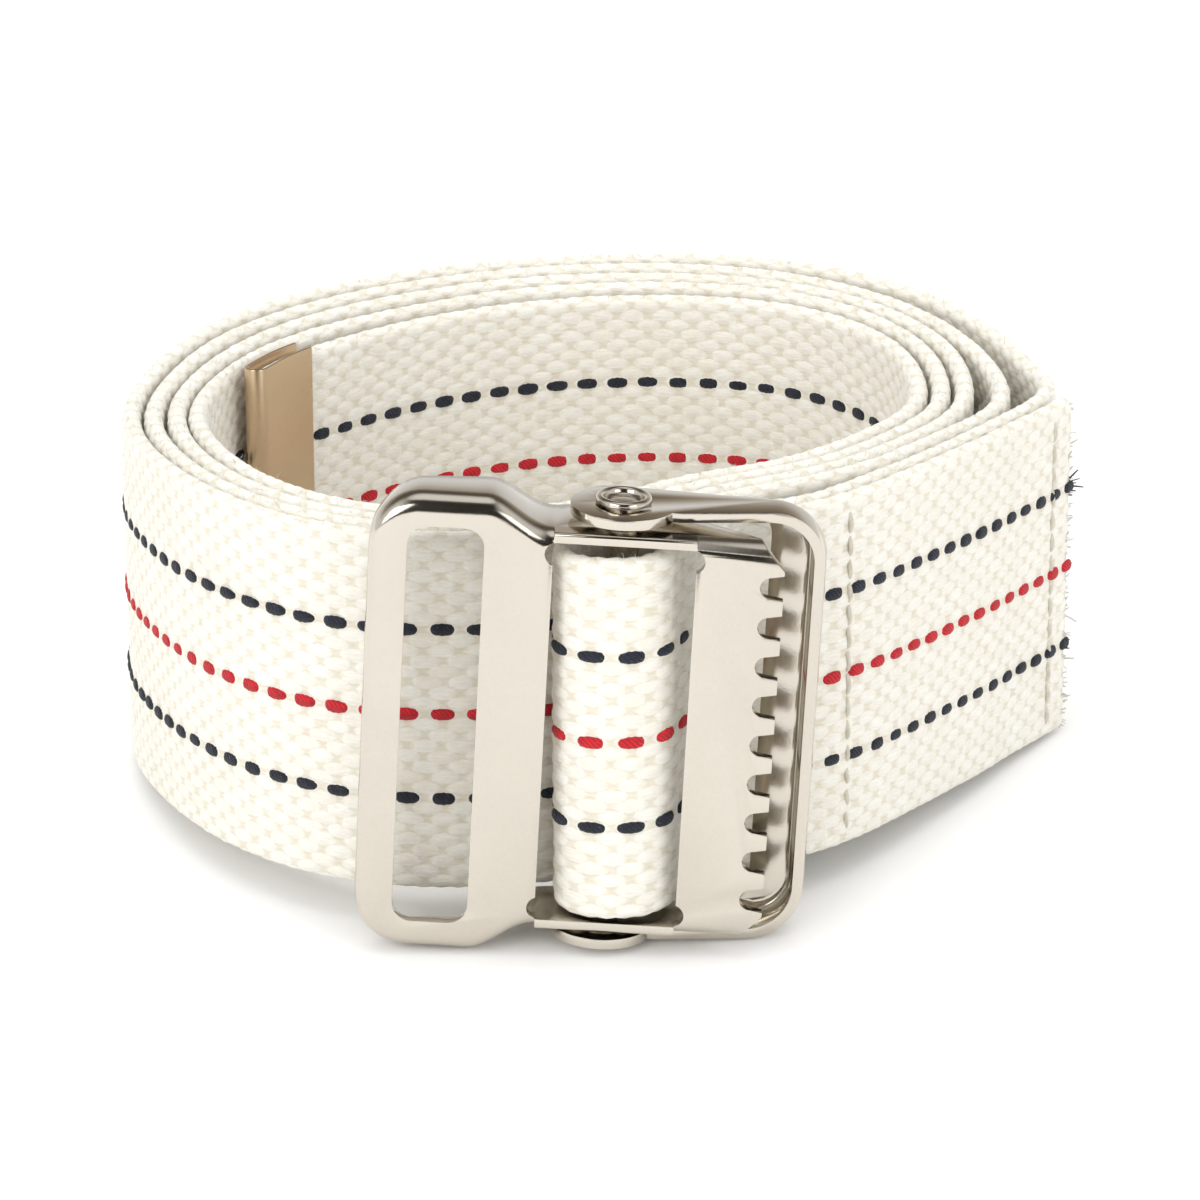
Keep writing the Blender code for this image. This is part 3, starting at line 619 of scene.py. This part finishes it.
def build_webbing():
    """The whole strap as one closed mesh: two woven faces joined by two rounded, looped edges."""
    fine = PICK / 8
    coarse = PICK / 6
    where = cut_places(fine, coarse)
    step = ROW / 4
    span = np.arange(EDGE, WEB_WIDTH - EDGE + 0.01, step)
    bend = np.linspace(0, np.pi, 11)[1:-1]
    face = np.concatenate([np.ones(len(span)), np.cos(bend), -np.ones(len(span)), -np.cos(bend)])
    turn = EDGE * np.sin(bend)
    up = np.concatenate([span, WEB_WIDTH - EDGE + turn, span[::-1], EDGE - turn])
    edge = np.concatenate([np.zeros(len(span)), np.sin(bend), np.zeros(len(span)), np.sin(bend)])
    s, w = where[:, None], up[None, :]
    side = np.where(face >= 0, 1, -1)[None, :]
    rise = np.where(side > 0, relief(s, w, 1), relief(s, w, -1))
    half = half_thick(where)[:, None]
    loops = np.cos(2 * np.pi * (s / (PICK / 2) + 0.25 * side))
    loops = 0.08 * loops + 0.10 * (scatter(np.floor(s / (PICK / 2)), side) - 0.5)
    e = edge[None, :]
    height = rise * (1 - 0.75 * e) + pucker(s, w)
    soft = 0.10 * np.sin(s / 9.0 + w / 14.0) * np.sin(s / 23.0 + 1.7) + 0.06 * np.sin(w / 6.0 + s / 17.0)
    calm = smooth_step(s / 12.0) * smooth_step((LENGTH - 20.0 - s) / 20.0)
    crimp = 1 - 0.6 * smooth_step((s - (LENGTH - TIP_LONG - 2.0)) / 3.0)
    reach = (half + height * crimp) * np.abs(face)[None, :]
    out = np.sign(face)[None, :] * reach + soft * calm
    lifted = w + e * np.where(w > WEB_WIDTH / 2, 1, -1) * (loops * crimp - 0.1)
    lifted = np.broadcast_to(lifted, out.shape)
    points = place(np.broadcast_to(s, out.shape), out, lifted)
    rings, around = out.shape
    faces = grid_faces(rings, around)
    count = rings * around
    made = mesh_object("webbing_strap_woven", points, faces)

    def close_ends(bm):
        bm.verts.ensure_lookup_table()
        bm.faces.new([bm.verts[i] for i in range(around)])
        bm.faces.new([bm.verts[i] for i in reversed(range(count - around, count))])
        for item in bm.faces:
            item.smooth = True

    reshape(made, close_ends)
    # Painted shade: the weave's height, stored as "relief", darkens the cotton's colour where the yarns dip
    # into hollows.
    level = np.clip((height + 0.32) / 0.5, 0, 1) * (1 - 0.1 * e) + 0.1 * e
    relief_shade_layer = made.data.attributes.new("relief", "FLOAT", "POINT")
    relief_shade_layer.data.foreach_set("value", np.ascontiguousarray(level).ravel())
    add_uv(made, np.broadcast_to(s, out.shape) * MM, np.broadcast_to(w, out.shape) * MM)
    outward_if_needed(made)
    return finish(made, COTTON, "belt", ["webbing_strap"])


def outward_if_needed(made):
    """Turn the faces over if the closed mesh is inside out."""
    face = made.data.polygons[0]
    middle = np.array(face.center)
    x, y = at(0.3)[:2]
    centre = np.array([x - CENTRE_X, y - CENTRE_Y, middle[2] / MM]) * MM
    if np.dot(np.array(face.normal), middle - centre) < 0:
        made.data.flip_normals()


def build_stripe(name, row, material):
    """A coloured warp yarn for each face: a long float on top, then a short dive under the weft."""
    around = 9
    where = cut_places(PICK / (12), PICK / 6, start=-0.8, stop=LENGTH - 2.0)
    middle = WEB_WIDTH / 2 + row * ROW
    points, faces, caps, us, vs = [], [], [], [], []
    first = 0
    for face in (1, -1):
        phase = where / PICK
        float_number = np.floor(phase + 0.5)
        up = np.tanh(YARN_STEEP * (np.cos(2 * np.pi * phase) + DASH_SHARE))
        half = half_thick(where)
        grain = scatter(float_number, row, face)
        out = face * (half - 0.40 + 0.42 * up + 0.05 * (grain - 0.5))
        crown = np.clip((up + 1) / 2, 0, 1)
        skew = phase - float_number + 0.05 * (scatter(float_number, row, face + 2.0) - 0.3)
        tall = 0.26 + 0.60 * np.clip(np.cos(np.pi * skew * 1.14), 0, 1) ** 0.75
        tall = tall * (1.0 + 0.16 * (grain - 0.5) + 0.05 * np.sin(where * 9.0 + 40.0 * grain))
        wide = 0.24 + 0.14 * crown
        jog = 0.10 * (scatter(float_number, row, face + 5.0) - 0.5)
        path = place(where, out, np.full(len(where), middle) + jog)
        dx, dy = at(where)[2:4]
        across = np.stack([dy, -dx, np.zeros(len(dx))], -1)
        upward = np.tile([0.0, 0.0, 1.0], (len(dx), 1))
        p, f, c = tube(path, across, upward, wide, tall, around, first)
        angle = np.arange(around) / around * 3.2
        points.append(p)
        faces.append(f)
        caps += c
        us += [np.repeat(where, around), [where[0], where[-1]]]
        vs += [np.tile(angle, len(where)), [0.0, 0.0]]
        first += len(p)
    made = mesh_object(name, np.vstack(points), as_tuples(np.vstack(faces)) + caps)
    add_uv(made, np.concatenate(us) * MM, np.concatenate(vs) * MM)
    reshape(made, face_out)
    return finish(made, material, "belt")


# ---- stitches
def build_stitches(name, row_at):
    """Sewing thread down the strap: each stitch swells up between the needle holes that draw it in."""
    dx, dy = at(row_at)[2:4]
    low, high = STITCH_MARGIN, WEB_WIDTH - STITCH_MARGIN
    count = int(round((high - low) / STITCH_LONG))
    per, around = 14, 10
    k = np.arange(count * per + 1)
    up = low + (high - low) * k / (count * per)
    share = (k % per) / per
    lift = np.sin(np.pi * share) ** 0.5
    number = np.floor(k / per)
    lean = (share - 0.5) * 0.55 * np.where(share > 0, 1, 0)
    lean = lean + 0.14 * (scatter(number, row_at) - 0.5)
    out = -(WEB_THICK / 2 - 0.42 + 0.50 * lift)
    path = place(row_at + lean * np.sin(np.pi * share), out, up)
    radius = 0.20 + 0.10 * lift
    across = np.tile([dy, -dx, 0.0], (len(k), 1))
    sideways = np.tile([dx, dy, 0.0], (len(k), 1))
    points, faces, caps = tube(path, across, sideways, radius, radius * 1.3, around)
    made = mesh_object(name + "_thread", points, as_tuples(faces) + caps)
    add_uv(made, np.concatenate([np.repeat(up, around), [up[0], up[-1]]]) * MM,
           np.concatenate([np.tile(np.arange(around) * 0.2, len(k)), [0, 0]]) * MM)
    reshape(made, face_out)
    return finish(made, THREAD, "belt", [name])


# ---- loose yarn ends
def build_ends(name, starts, material, rng):
    """Short frayed yarns: each starts in the webbing, leaves along a direction and droops a little."""
    points, faces, us, vs = [], [], [], []
    first = 0
    steps, around = 6, 5
    for spot, heading, length, radius in starts:
        heading = Vector(heading).normalized()
        side = heading.orthogonal().normalized()
        other = heading.cross(side)
        bend = Vector((rng.normal(0, 0.35), rng.normal(0, 0.35), rng.normal(-0.12, 0.3)))
        path = []
        for i in range(steps):
            t = i / (steps - 1)
            path.append(Vector(spot) + heading * length * t + bend * length * t * t * 0.6)
        path = np.array([tuple(p) for p in path])
        taper = radius * (1 - 0.45 * np.linspace(0, 1, steps) ** 2)
        p, f, c = tube(path, np.tile(tuple(side), (steps, 1)), np.tile(tuple(other), (steps, 1)),
                       taper, taper, around, first)
        points.append(p)
        faces += as_tuples(f) + c
        us += [np.repeat(np.linspace(0, length, steps), around), [0.0, length]]
        vs += [np.tile(np.arange(around) * 0.25, steps), [0.0, 0.0]]
        first += len(p)
    made = mesh_object(name, np.vstack(points), faces)
    add_uv(made, np.concatenate(us) * MM, np.concatenate(vs) * MM)
    reshape(made, face_out)
    return finish(made, material, "belt")


def fray_cut_end():
    """Short loose yarns all down the cut end, thickest at the upper navy yarn and the lower corner."""
    rng = np.random.default_rng(7)
    dx, dy = at(0.0)[2:4]
    ahead = Vector((-dx, -dy, 0.0))
    across = Vector((dy, -dx, 0.0))
    cream, navy, red = [], [], []
    for row in range(-HALF_ROWS, HALF_ROWS + 1):
        up = WEB_WIDTH / 2 + row * ROW
        kept, strands, long = {
            UPPER: (navy, 70, 1.7), LOWER: (navy, 16, 1.1), MIDDLE: (red, 10, 1.0),
        }.get(row, (cream, 30, 1.7) if row < LOW_CORNER else (cream, 26, 0.9))
        for _ in range(strands):
            out = float(rng.uniform(-1.1, 1.1))
            lean = Vector((0, 0, float(rng.normal(0, 0.35)))) + across * float(rng.normal(0, 0.3))
            length = 0.9 + float(rng.gamma(2.0, 0.5)) * long * 0.6
            radius = float(rng.uniform(0.09, 0.22))
            spot = place(FRAY_FROM, out, up + float(rng.normal(0, 0.35)))
            kept.append((tuple(float(c) for c in spot), ahead + lean, length, radius))
    build_ends("cut_end_fray", cream, COTTON_YARN, rng)
    build_ends("cut_end_fray_navy", navy, NAVY, rng)
    build_ends("cut_end_fray_red", red, RED, rng)


def build_fluff():
    """Loose cotton fibres that stand off the webbing's edges and faces."""
    rng = np.random.default_rng(11)
    fibres = []
    for where in np.arange(1.0, LENGTH - TIP_LONG - 1.0, 0.55):
        where = float(where + rng.uniform(-0.3, 0.3))
        dx, dy = (float(v) for v in at(where)[2:4])
        side = float(rng.choice((-1.0, 1.0)))
        out = Vector((dy, -dx, 0.0)) * side
        on_edge = rng.random() < 0.72
        if on_edge:
            up = WEB_WIDTH - 0.25 if rng.random() < 0.8 else 0.4
            spot = place(where, float(rng.uniform(-1.1, 1.1)), up)
            heading = Vector((0.0, 0.0, 1.0 if up > 1.0 else 0.2)) + out * float(rng.uniform(-0.3, 1.3))
        else:
            up = float(rng.uniform(1.0, WEB_WIDTH - 1.0))
            spot = place(where, side * (WEB_THICK / 2 - 0.15), up)
            heading = out + Vector((0.0, 0.0, float(rng.normal(0.0, 0.7))))
        heading += Vector((dx, dy, 0.0)) * float(rng.normal(0.0, 0.9))
        long = float(rng.uniform(0.35, 0.9) if on_edge else rng.uniform(0.35, 0.7))
        fibres.append((tuple(float(c) for c in spot), heading, long, float(rng.uniform(0.022, 0.04))))
    build_ends("webbing_fluff", fibres, COTTON_YARN, rng)


# ---- metal parts
def arc(cx, cy, radius, start, stop, steps):
    """Points round a centre from one angle to another, in degrees."""
    points = []
    for i in range(steps + 1):
        angle = math.radians(start + (stop - start) * i / steps)
        points.append((cx + radius * math.cos(angle), cy + radius * math.sin(angle)))
    return points


def rounded_box(left, right, half, radius, steps=10):
    """Outline of a box with round corners, as high above the middle as below."""
    points = arc(right - radius, radius - half, radius, -90, 0, steps)
    points += arc(right - radius, half - radius, radius, 0, 90, steps)
    points += arc(left + radius, half - radius, radius, 90, 180, steps)
    points += arc(left + radius, radius - half, radius, 180, 270, steps)
    return points


def block(name, outline, low, high, axis):
    """A straight block with the given outline; the axis is the direction of its thickness."""
    order = {"Z": lambda a, b, c: (a, b, c), "Y": lambda a, b, c: (a, c, b)}[axis]
    count = len(outline)
    points = [order(a, b, low) for a, b in outline] + [order(a, b, high) for a, b in outline]
    faces = [tuple(range(count)), tuple(reversed(range(count, 2 * count)))]
    faces += [(i, i + count, (i + 1) % count + count, (i + 1) % count) for i in range(count)]
    made = mesh_object(name, points, faces, smooth=False)
    reshape(made, face_out)
    return made


def keep_modified(made):
    """Swap the mesh for what its modifiers make of it."""
    bpy.context.view_layer.update()
    graph = bpy.context.evaluated_depsgraph_get()
    mesh = bpy.data.meshes.new_from_object(made.evaluated_get(graph))
    made.modifiers.clear()
    made.data = mesh


def cut(target, cutter):
    """Take one block out of the target with an exact Boolean, then drop the block."""
    mod = target.modifiers.new("cut", "BOOLEAN")
    mod.operation = "DIFFERENCE"
    mod.solver = "EXACT"
    mod.object = cutter
    keep_modified(target)
    bpy.data.objects.remove(cutter, do_unlink=True)


def soften(made, width, limit, miter="MITER_SHARP"):
    """Round the edges that turn by more than the limit."""
    mod = made.modifiers.new("soft_edges", "BEVEL")
    mod.width = width * MM
    mod.segments = 2
    mod.limit_method = "ANGLE"
    mod.angle_limit = math.radians(limit)
    mod.miter_outer = miter
    keep_modified(made)


def shade(made):
    made.data.shade_smooth()
    made.data.set_sharp_from_angle(angle=math.radians(38))


def finish_plate(made, angle):
    """Round the stamped edges, then turn the plate to its resting angle on the pin."""
    flat = math.radians(1.0)
    turn = Matrix.Rotation(math.radians(LEAN), 4, "Y") @ Matrix.Rotation(math.radians(angle), 4, "Z")
    rest = Matrix.Translation(Vector(PIN) * MM) @ turn
    reshape(
        made, merge_within(0.00002),
        lambda bm: bmesh.ops.dissolve_limit(bm, angle_limit=flat, verts=bm.verts, edges=bm.edges),
        face_out)
    soften(made, PLATE_ROUND, 32, "MITER_ARC")
    reshape(made, lambda bm: bmesh.ops.transform(bm, matrix=rest, verts=bm.verts))
    shade(made)


def lofted(name, rings):
    """A closed solid through rings of points, with flat ends."""
    around = len(rings[0])
    faces = as_tuples(grid_faces(len(rings), around))
    faces += [tuple(reversed(range(around))),
              tuple(range((len(rings) - 1) * around, len(rings) * around))]
    made = mesh_object(name, [p for ring in rings for p in ring], faces, smooth=False)
    reshape(made, face_out)
    return made


def lever_half_height(x):
    """Half of the lever's height: round corners at the handle, and a step down at the neck."""
    if x < LEVER_LEFT + LEVER_CORNER:
        run = LEVER_LEFT + LEVER_CORNER - x
        return LEVER_TALL - LEVER_CORNER + math.sqrt(max(LEVER_CORNER ** 2 - run * run, 0.0))
    share = max(0.0, min(1.0, (x - NECK_LEFT) / (NECK_RIGHT - NECK_LEFT)))
    return LEVER_TALL + (LEVER_LOW - LEVER_TALL) * share * share * (3.0 - 2.0 * share)


def lever_section(x, bend, steps=9):
    """The channel's outline at one place: a front web and two flanges that run back."""
    h = lever_half_height(x)
    run = max(LEVER_LEFT + LEVER_ROLL - x, 0.0)
    front = LEVER_FRONT + LEVER_ROLL - math.sqrt(max(LEVER_ROLL ** 2 - run * run, 0.0))
    small = max(bend - SHEET, LIP_INSIDE)
    deep = max(SHEET + small, bend)
    upper = [(front + bend - a, h - bend + b) for a, b in arc(0.0, 0.0, bend, 0, 90, steps)]
    under = [(front + deep - a, h - deep + b) for a, b in arc(0.0, 0.0, small, 0, 90, steps)]
    half = upper + [(LEVER_BACK, h), (LEVER_BACK, h - SHEET)] + list(reversed(under))
    return [(x, y, z) for y, z in half + [(y, -z) for y, z in reversed(half)]]


def bore_outline():
    return arc(0.0, 0.0, BORE_R, 0, 352.5, 47)


def tooth_edge():
    """The lever's free edge: slanting corners and flat teeth with round notches between them."""
    past = LEVER_LOW + 1.0
    slant = [(LEVER_TIPS - FREE_CORNER, past), (LEVER_TIPS - FREE_CORNER, LEVER_LOW + 0.2),
             (LEVER_TIPS, LEVER_LOW - FREE_CORNER - 0.2)]
    points = [(x, -z) for x, z in slant]
    for k in range(TOOTH_COUNT):
        z = (k - (TOOTH_COUNT - 1) / 2.0) * TOOTH_PITCH
        points.append((LEVER_TIPS, z - NOTCH_R - 0.3))
        points += arc(LEVER_ROOTS + NOTCH_R, z, NOTCH_R, 270, 90, 12)
        points.append((LEVER_TIPS, z + NOTCH_R + 0.3))
    return points + list(reversed(slant))


def lever_window():
    """The front opening, with a round relief in each corner."""
    half = LEVER_LOW - SHEET
    z = half - RELIEF_R
    turn = 90.0 - math.degrees(math.asin(RELIEF_IN / RELIEF_R))
    right = arc(WINDOW_RIGHT - RELIEF_IN, z, RELIEF_R, -turn, 90, 14)
    left = arc(WINDOW_LEFT + RELIEF_IN, z, RELIEF_R, 90, 180 + turn, 14)
    upper = right + left
    return upper + [(x, -y) for x, y in reversed(upper)]


def build_lever():
    """The toothed lever: one folded channel with its flanges trimmed, pierced and toothed."""
    places = [(LEVER_LEFT + LEVER_ROLL * (1.0 - math.cos(math.radians(a))), BEND) for a in range(0, 91, 15)]
    places += [(LEVER_LEFT + d, BEND) for d in (2.7, 3.5, 4.3, 5.2, 6.1, LEVER_CORNER)]
    places += [(NECK_LEFT + (NECK_RIGHT - NECK_LEFT) * k / 14, BEND) for k in range(15)]
    places += [(WINDOW_LEFT + 0.1, LIP_BEND), (WINDOW_RIGHT - 0.1, LIP_BEND), (WINDOW_RIGHT, BEND)]
    places += [(LEVER_TIPS + 0.5, BEND)]
    lever = lofted("toothed_lever_plate", [lever_section(x, bend) for x, bend in places])
    f = LEVER_FRONT
    flanges = [(-PAST, f + 2.5), (-32.7, f + 2.8), (-31.8, f + 3.6), (-31.0, f + 4.6), (-30.0, f + 5.6),
               (-29.0, f + 6.4), (-27.8, f + 7.1), (-26.5, f + 7.6), (-23.0, f + 8.1), (-16.0, f + 8.9),
               (-11.0, f + 10.2), (-7.6, f + 11.2)]
    flanges += arc(0.0, 0.0, EYE_R, 135, 60, 14)
    flanges += [(17.5, f + BEND + 0.2), (19.0, f + 2.0), (30.0, f + 2.0), (30.0, 20.0), (-PAST, 20.0)]
    teeth = tooth_edge() + [(PAST, LEVER_LOW + 1.0), (PAST, -LEVER_LOW - 1.0)]
    for item in (
        block("flange_trim", flanges, -PAST, PAST, "Z"),
        block("tail_slot", rounded_box(SLOT_LEFT, SLOT_RIGHT, SLOT_HALF, SLOT_CORNER), f - 3.0, f + 3.0, "Y"),
        block("front_window", lever_window(), f - 2.0, f + 5.0, "Y"),
        block("lever_bore", bore_outline(), -PAST, PAST, "Z"),
        block("teeth", teeth, f - 3.0, 20.0, "Y"),
    ):
        cut(lever, item)
    finish_plate(lever, LEVER_ANGLE)
    return finish(lever, NICKEL, "lever_body", ["toothed_lever"])


def pan_ring(y, inset):
    """Outline of the pan's wall at one depth: open to the left, with round corners on the right."""
    x = FRAME_RIGHT - FRAME_CORNER
    z = ARM_OUT - FRAME_CORNER
    radius = FRAME_CORNER - inset
    points = arc(x, -z, radius, -90, 0, 14) + arc(x, z, radius, 0, 90, 14)
    left = PAN_LEFT - inset
    return [(left, y, inset - ARM_OUT)] + [(a, y, b) for a, b in points] + [(left, y, ARM_OUT - inset)]


def pan(name, inset, front):
    """The pan's outer shape, or its hollow when it is set in by the sheet's thickness."""
    bend = FRAME_BEND - inset
    rings = [pan_ring(front, inset)]
    for a, b in arc(0.0, 0.0, bend, 0, 90, 10):
        rings.append(pan_ring(FRAME_BACK - inset - bend + b, inset + bend - a))
    return lofted(name, rings)


def build_frame():
    """The rear frame: a stamped pan with its window and its two arms trimmed to round ears."""
    plate = pan("rear_frame_plate", 0.0, PAN_FRONT)
    window = [(-14.0, -FRAME_WINDOW)]
    window += arc(PLATE_LEFT - PLATE_CORNER, PLATE_CORNER - FRAME_WINDOW, PLATE_CORNER, -90, 0, 10)
    window += arc(PLATE_LEFT - PLATE_CORNER, FRAME_WINDOW - PLATE_CORNER, PLATE_CORNER, 0, 90, 10)
    window += [(-14.0, FRAME_WINDOW)]
    arms = [(-20.0, -20.0), (PAST, -20.0), (PAST, 3.0), (26.8, 3.0), (8.0, -1.9)]
    arms += arc(0.0, 0.0, EAR_R, -17, -262, 44)
    arms += [(3.0, ARM_BACK + 0.1), (13.0, ARM_BACK), (14.4, ARM_BACK + 0.35), (15.4, ARM_BACK + 0.9),
             (16.1, ARM_BACK + 1.8), (16.4, FRAME_BACK + 0.4), (16.4, 20.0), (-20.0, 20.0)]
    for item in (
        pan("pan_hollow", SHEET, PAN_FRONT - 5.0),
        block("strap_window", window, 0.0, 14.0, "Y"),
        block("arm_trim", arms, -PAST, PAST, "Z"),
        block("frame_bore", bore_outline(), -PAST - 1.0, PAST + 1.0, "Z"),
    ):
        cut(plate, item)
    finish_plate(plate, FRAME_ANGLE)
    return finish(plate, NICKEL, "frame_body", ["rear_frame"])


def lathe(name, profile, steps=64):
    """A turned piece about the pin's axis; the profile runs from one end of the axis to the other."""
    angle = 2 * np.pi * np.arange(steps) / steps
    points = []
    for r, z in profile[1:-1]:
        for a in angle:
            points.append((r * math.cos(a), r * math.sin(a), z))
    rings = len(profile) - 2
    low, high = len(points), len(points) + 1
    points += [(0.0, 0.0, profile[0][1]), (0.0, 0.0, profile[-1][1])]
    lean = Matrix.Rotation(math.radians(LEAN), 3, "Y")
    points = [tuple(lean @ Vector(p) + Vector(PIN)) for p in points]
    faces = as_tuples(grid_faces(rings, steps))
    last = (rings - 1) * steps
    for i in range(steps):
        j = (i + 1) % steps
        faces.append((low, j, i))
        faces.append((high, last + i, last + j))
    made = mesh_object(name, points, faces)
    reshape(made, face_out)
    made.data.set_sharp_from_angle(angle=math.radians(45))
    return made


def build_pin():
    """The rivet: a plain head below, a shaft and a rolled, hollow head above."""
    low = -ARM_OUT - HEAD_GAP
    high = ARM_OUT + HEAD_GAP
    profile = [(0.0, low - 0.95), (1.6, low - 0.93), (2.6, low - 0.85), (3.3, low - 0.62), (3.62, low - 0.35),
               (HEAD_R, low - 0.12), (3.66, low), (SHAFT_R, low), (SHAFT_R, high), (3.62, high),
               (HEAD_R, high + 0.12)]
    profile += [(3.12 + 0.58 * math.cos(a), high + 0.36 + 0.56 * math.sin(a))
                for a in np.radians(np.arange(0, 181, 20))]
    profile += [(2.42, high + 0.18), (2.2, high + 0.10), (1.85, high + 0.12), (1.3, high + 0.26),
                (0.7, high + 0.33), (0.0, high + 0.35)]
    return finish(lathe("pivot_pin_rivet", profile), NICKEL, "belt", ["pivot_pin"])


def build_tip():
    """Sheet metal folded round the strap's end and pressed on to it."""
    inner = WEB_CRIMPED / 2.0 + TIP_GAP
    outer = inner + TIP_SHEET
    x, y, dx, dy, base = (float(v) for v in at(LENGTH - 0.01))
    backs = [tuple(float(v) for v in at(LENGTH - TIP_LONG + (TIP_LONG - 0.2) * i / 12)) for i in range(13)]

    def offset(item, side):
        """A place on the strap's middle line, moved across its thickness."""
        return (item[0] + item[3] * side, item[1] - item[2] * side)

    def cap(radius, steps):
        """The round turn past the end of the webbing."""
        centre = (x + dx * TIP_GAP * 0.5, y + dy * TIP_GAP * 0.5)
        points = []
        for k in range(steps + 1):
            a = math.pi * k / steps
            points.append((centre[0] + dy * math.cos(a) * radius + dx * math.sin(a) * radius,
                           centre[1] - dx * math.cos(a) * radius + dy * math.sin(a) * radius))
        return points

    outline = [offset(item, outer) for item in backs] + cap(outer, 16)
    outline += [offset(item, -outer) for item in reversed(backs)]
    outline += [offset(item, -inner) for item in backs] + list(reversed(cap(inner, 14)))
    outline += [offset(item, inner) for item in reversed(backs)]
    moved = [(a - CENTRE_X, b - CENTRE_Y) for a, b in outline]
    made = block("strap_tip_sheet", moved, base, base + WEB_WIDTH + TIP_STICKS_OUT, "Z")
    reshape(made, merge_within(0.00001))
    soften(made, TIP_ROUND, 35)
    shade(made)
    return finish(made, TIP_METAL, "belt", ["strap_tip"])


# ---- surroundings
def build_floor():
    """A wide pale floor under the belt."""
    far = 2500.0
    corners = [(-far, -far, 0.0), (far, -far, 0.0), (far, far, 0.0), (-far, far, 0.0)]
    floor = mesh_object("studio_floor", corners, [(0, 1, 2, 3)], smooth=False)
    n = Nodes("pale_floor")
    n.set(Base_Color=(0.96, 0.96, 0.96, 1.0), Roughness=0.9)
    floor.data.materials.append(n.material)


def area_light(name, spot, target, size, power):
    """A square light that faces its target."""
    data = bpy.data.lights.new(name, "AREA")
    data.shape = "SQUARE"
    data.size = size
    data.energy = power
    made = bpy.data.objects.new(name, data)
    made.location = spot
    made.rotation_euler = (Vector(target) - Vector(spot)).to_track_quat("-Z", "Y").to_euler()
    bpy.context.scene.collection.objects.link(made)
    return made


def build_lights():
    """Three soft lights, and a studio round the belt that shows in the metal by zones."""
    world = bpy.data.worlds.new("studio")
    bpy.context.scene.world = world
    world.use_nodes = True
    tree = world.node_tree
    link = tree.links.new
    spot = tree.nodes.new("ShaderNodeTexCoord")
    split = tree.nodes.new("ShaderNodeSeparateXYZ")
    link(spot.outputs["Generated"], split.inputs["Vector"])

    def ramp(*stops):
        """Brightness by height; a ramp re-sorts its own stops, so they are coloured in that order."""
        node = tree.nodes.new("ShaderNodeValToRGB")
        elements = node.color_ramp.elements
        for i, (position, level) in enumerate(stops):
            item = elements[i] if i < 2 else elements.new(position)
            item.position = position
        for item, (position, level) in zip(elements, sorted(stops)):
            tint = WARM if level < WARM_BELOW else WHITE
            item.color = (level * tint[0], level * tint[1], level * tint[2], 1.0)
        link(split.outputs["Z"], node.inputs["Fac"])
        return node.outputs["Color"]

    def blend(socket, low, high, first, second):
        """Go from the first colour to the second as a value passes from low to high."""
        share = tree.nodes.new("ShaderNodeMapRange")
        share.interpolation_type = "SMOOTHSTEP"
        share.inputs["From Min"].default_value = low
        share.inputs["From Max"].default_value = high
        mix = tree.nodes.new("ShaderNodeMix")
        mix.data_type = "RGBA"
        link(socket, share.inputs["Value"])
        link(share.outputs["Result"], mix.inputs["Factor"])
        link(first, mix.inputs["A"])
        link(second, mix.inputs["B"])
        return mix.outputs["Result"]

    rear = ramp((0.0, 0.9), (1.0, 0.95), (0.25, 0.75), (0.45, 0.40), (0.70, 0.12), (0.90, 0.12))
    near = ramp((0.0, 0.20), (1.0, 0.95), (0.04, 0.02), (0.80, 0.02), (0.90, 0.10), (0.94, 0.90))
    sides = ramp((0.0, 0.8), (1.0, 0.8))
    tent = ramp((0.0, 1.15), (1.0, 0.9))
    reach = tree.nodes.new("ShaderNodeMath")
    reach.operation = "ABSOLUTE"
    link(split.outputs["X"], reach.inputs[0])
    front = blend(reach.outputs["Value"], 0.25, 0.60, near, sides)
    sky = blend(split.outputs["Y"], -0.25, 0.35, front, rear)
    ray = tree.nodes.new("ShaderNodeLightPath")
    shown = blend(ray.outputs["Is Glossy Ray"], 0.0, 1.0, tent, sky)
    link(shown, tree.nodes["Background"].inputs["Color"])
    for item in LIGHTS:
        light = area_light(*item)
        light.visible_glossy = light.name != "top"


def build_camera():
    """The product photo's view: level, looking a little down at the buckle's side."""
    data = bpy.data.cameras.new("camera")
    data.sensor_width = SENSOR
    data.lens = LENS
    made = bpy.data.objects.new("camera", data)
    bpy.context.scene.collection.objects.link(made)
    tilt = math.radians(CAMERA_TILT)
    back = Vector((0.0, -math.cos(tilt), math.sin(tilt)))
    made.location = Vector(CAMERA_TARGET) + back * CAMERA_BACK
    made.rotation_mode = "QUATERNION"
    made.rotation_quaternion = (-back).to_track_quat("-Z", "Y")
    bpy.context.scene.camera = made


build_camera()
build_lights()
build_floor()
build_webbing()
build_stripe("stripe_navy_upper", UPPER, NAVY)
build_stripe("stripe_red_middle", MIDDLE, RED)
build_stripe("stripe_navy_lower", LOWER, NAVY)
for row_name, row_at in STITCH_ROWS.items():
    build_stitches(row_name, row_at)
fray_cut_end()
build_fluff()
build_tip()
build_pin()
build_frame()
build_lever()
bpy.context.scene.view_settings.view_transform = "Standard"
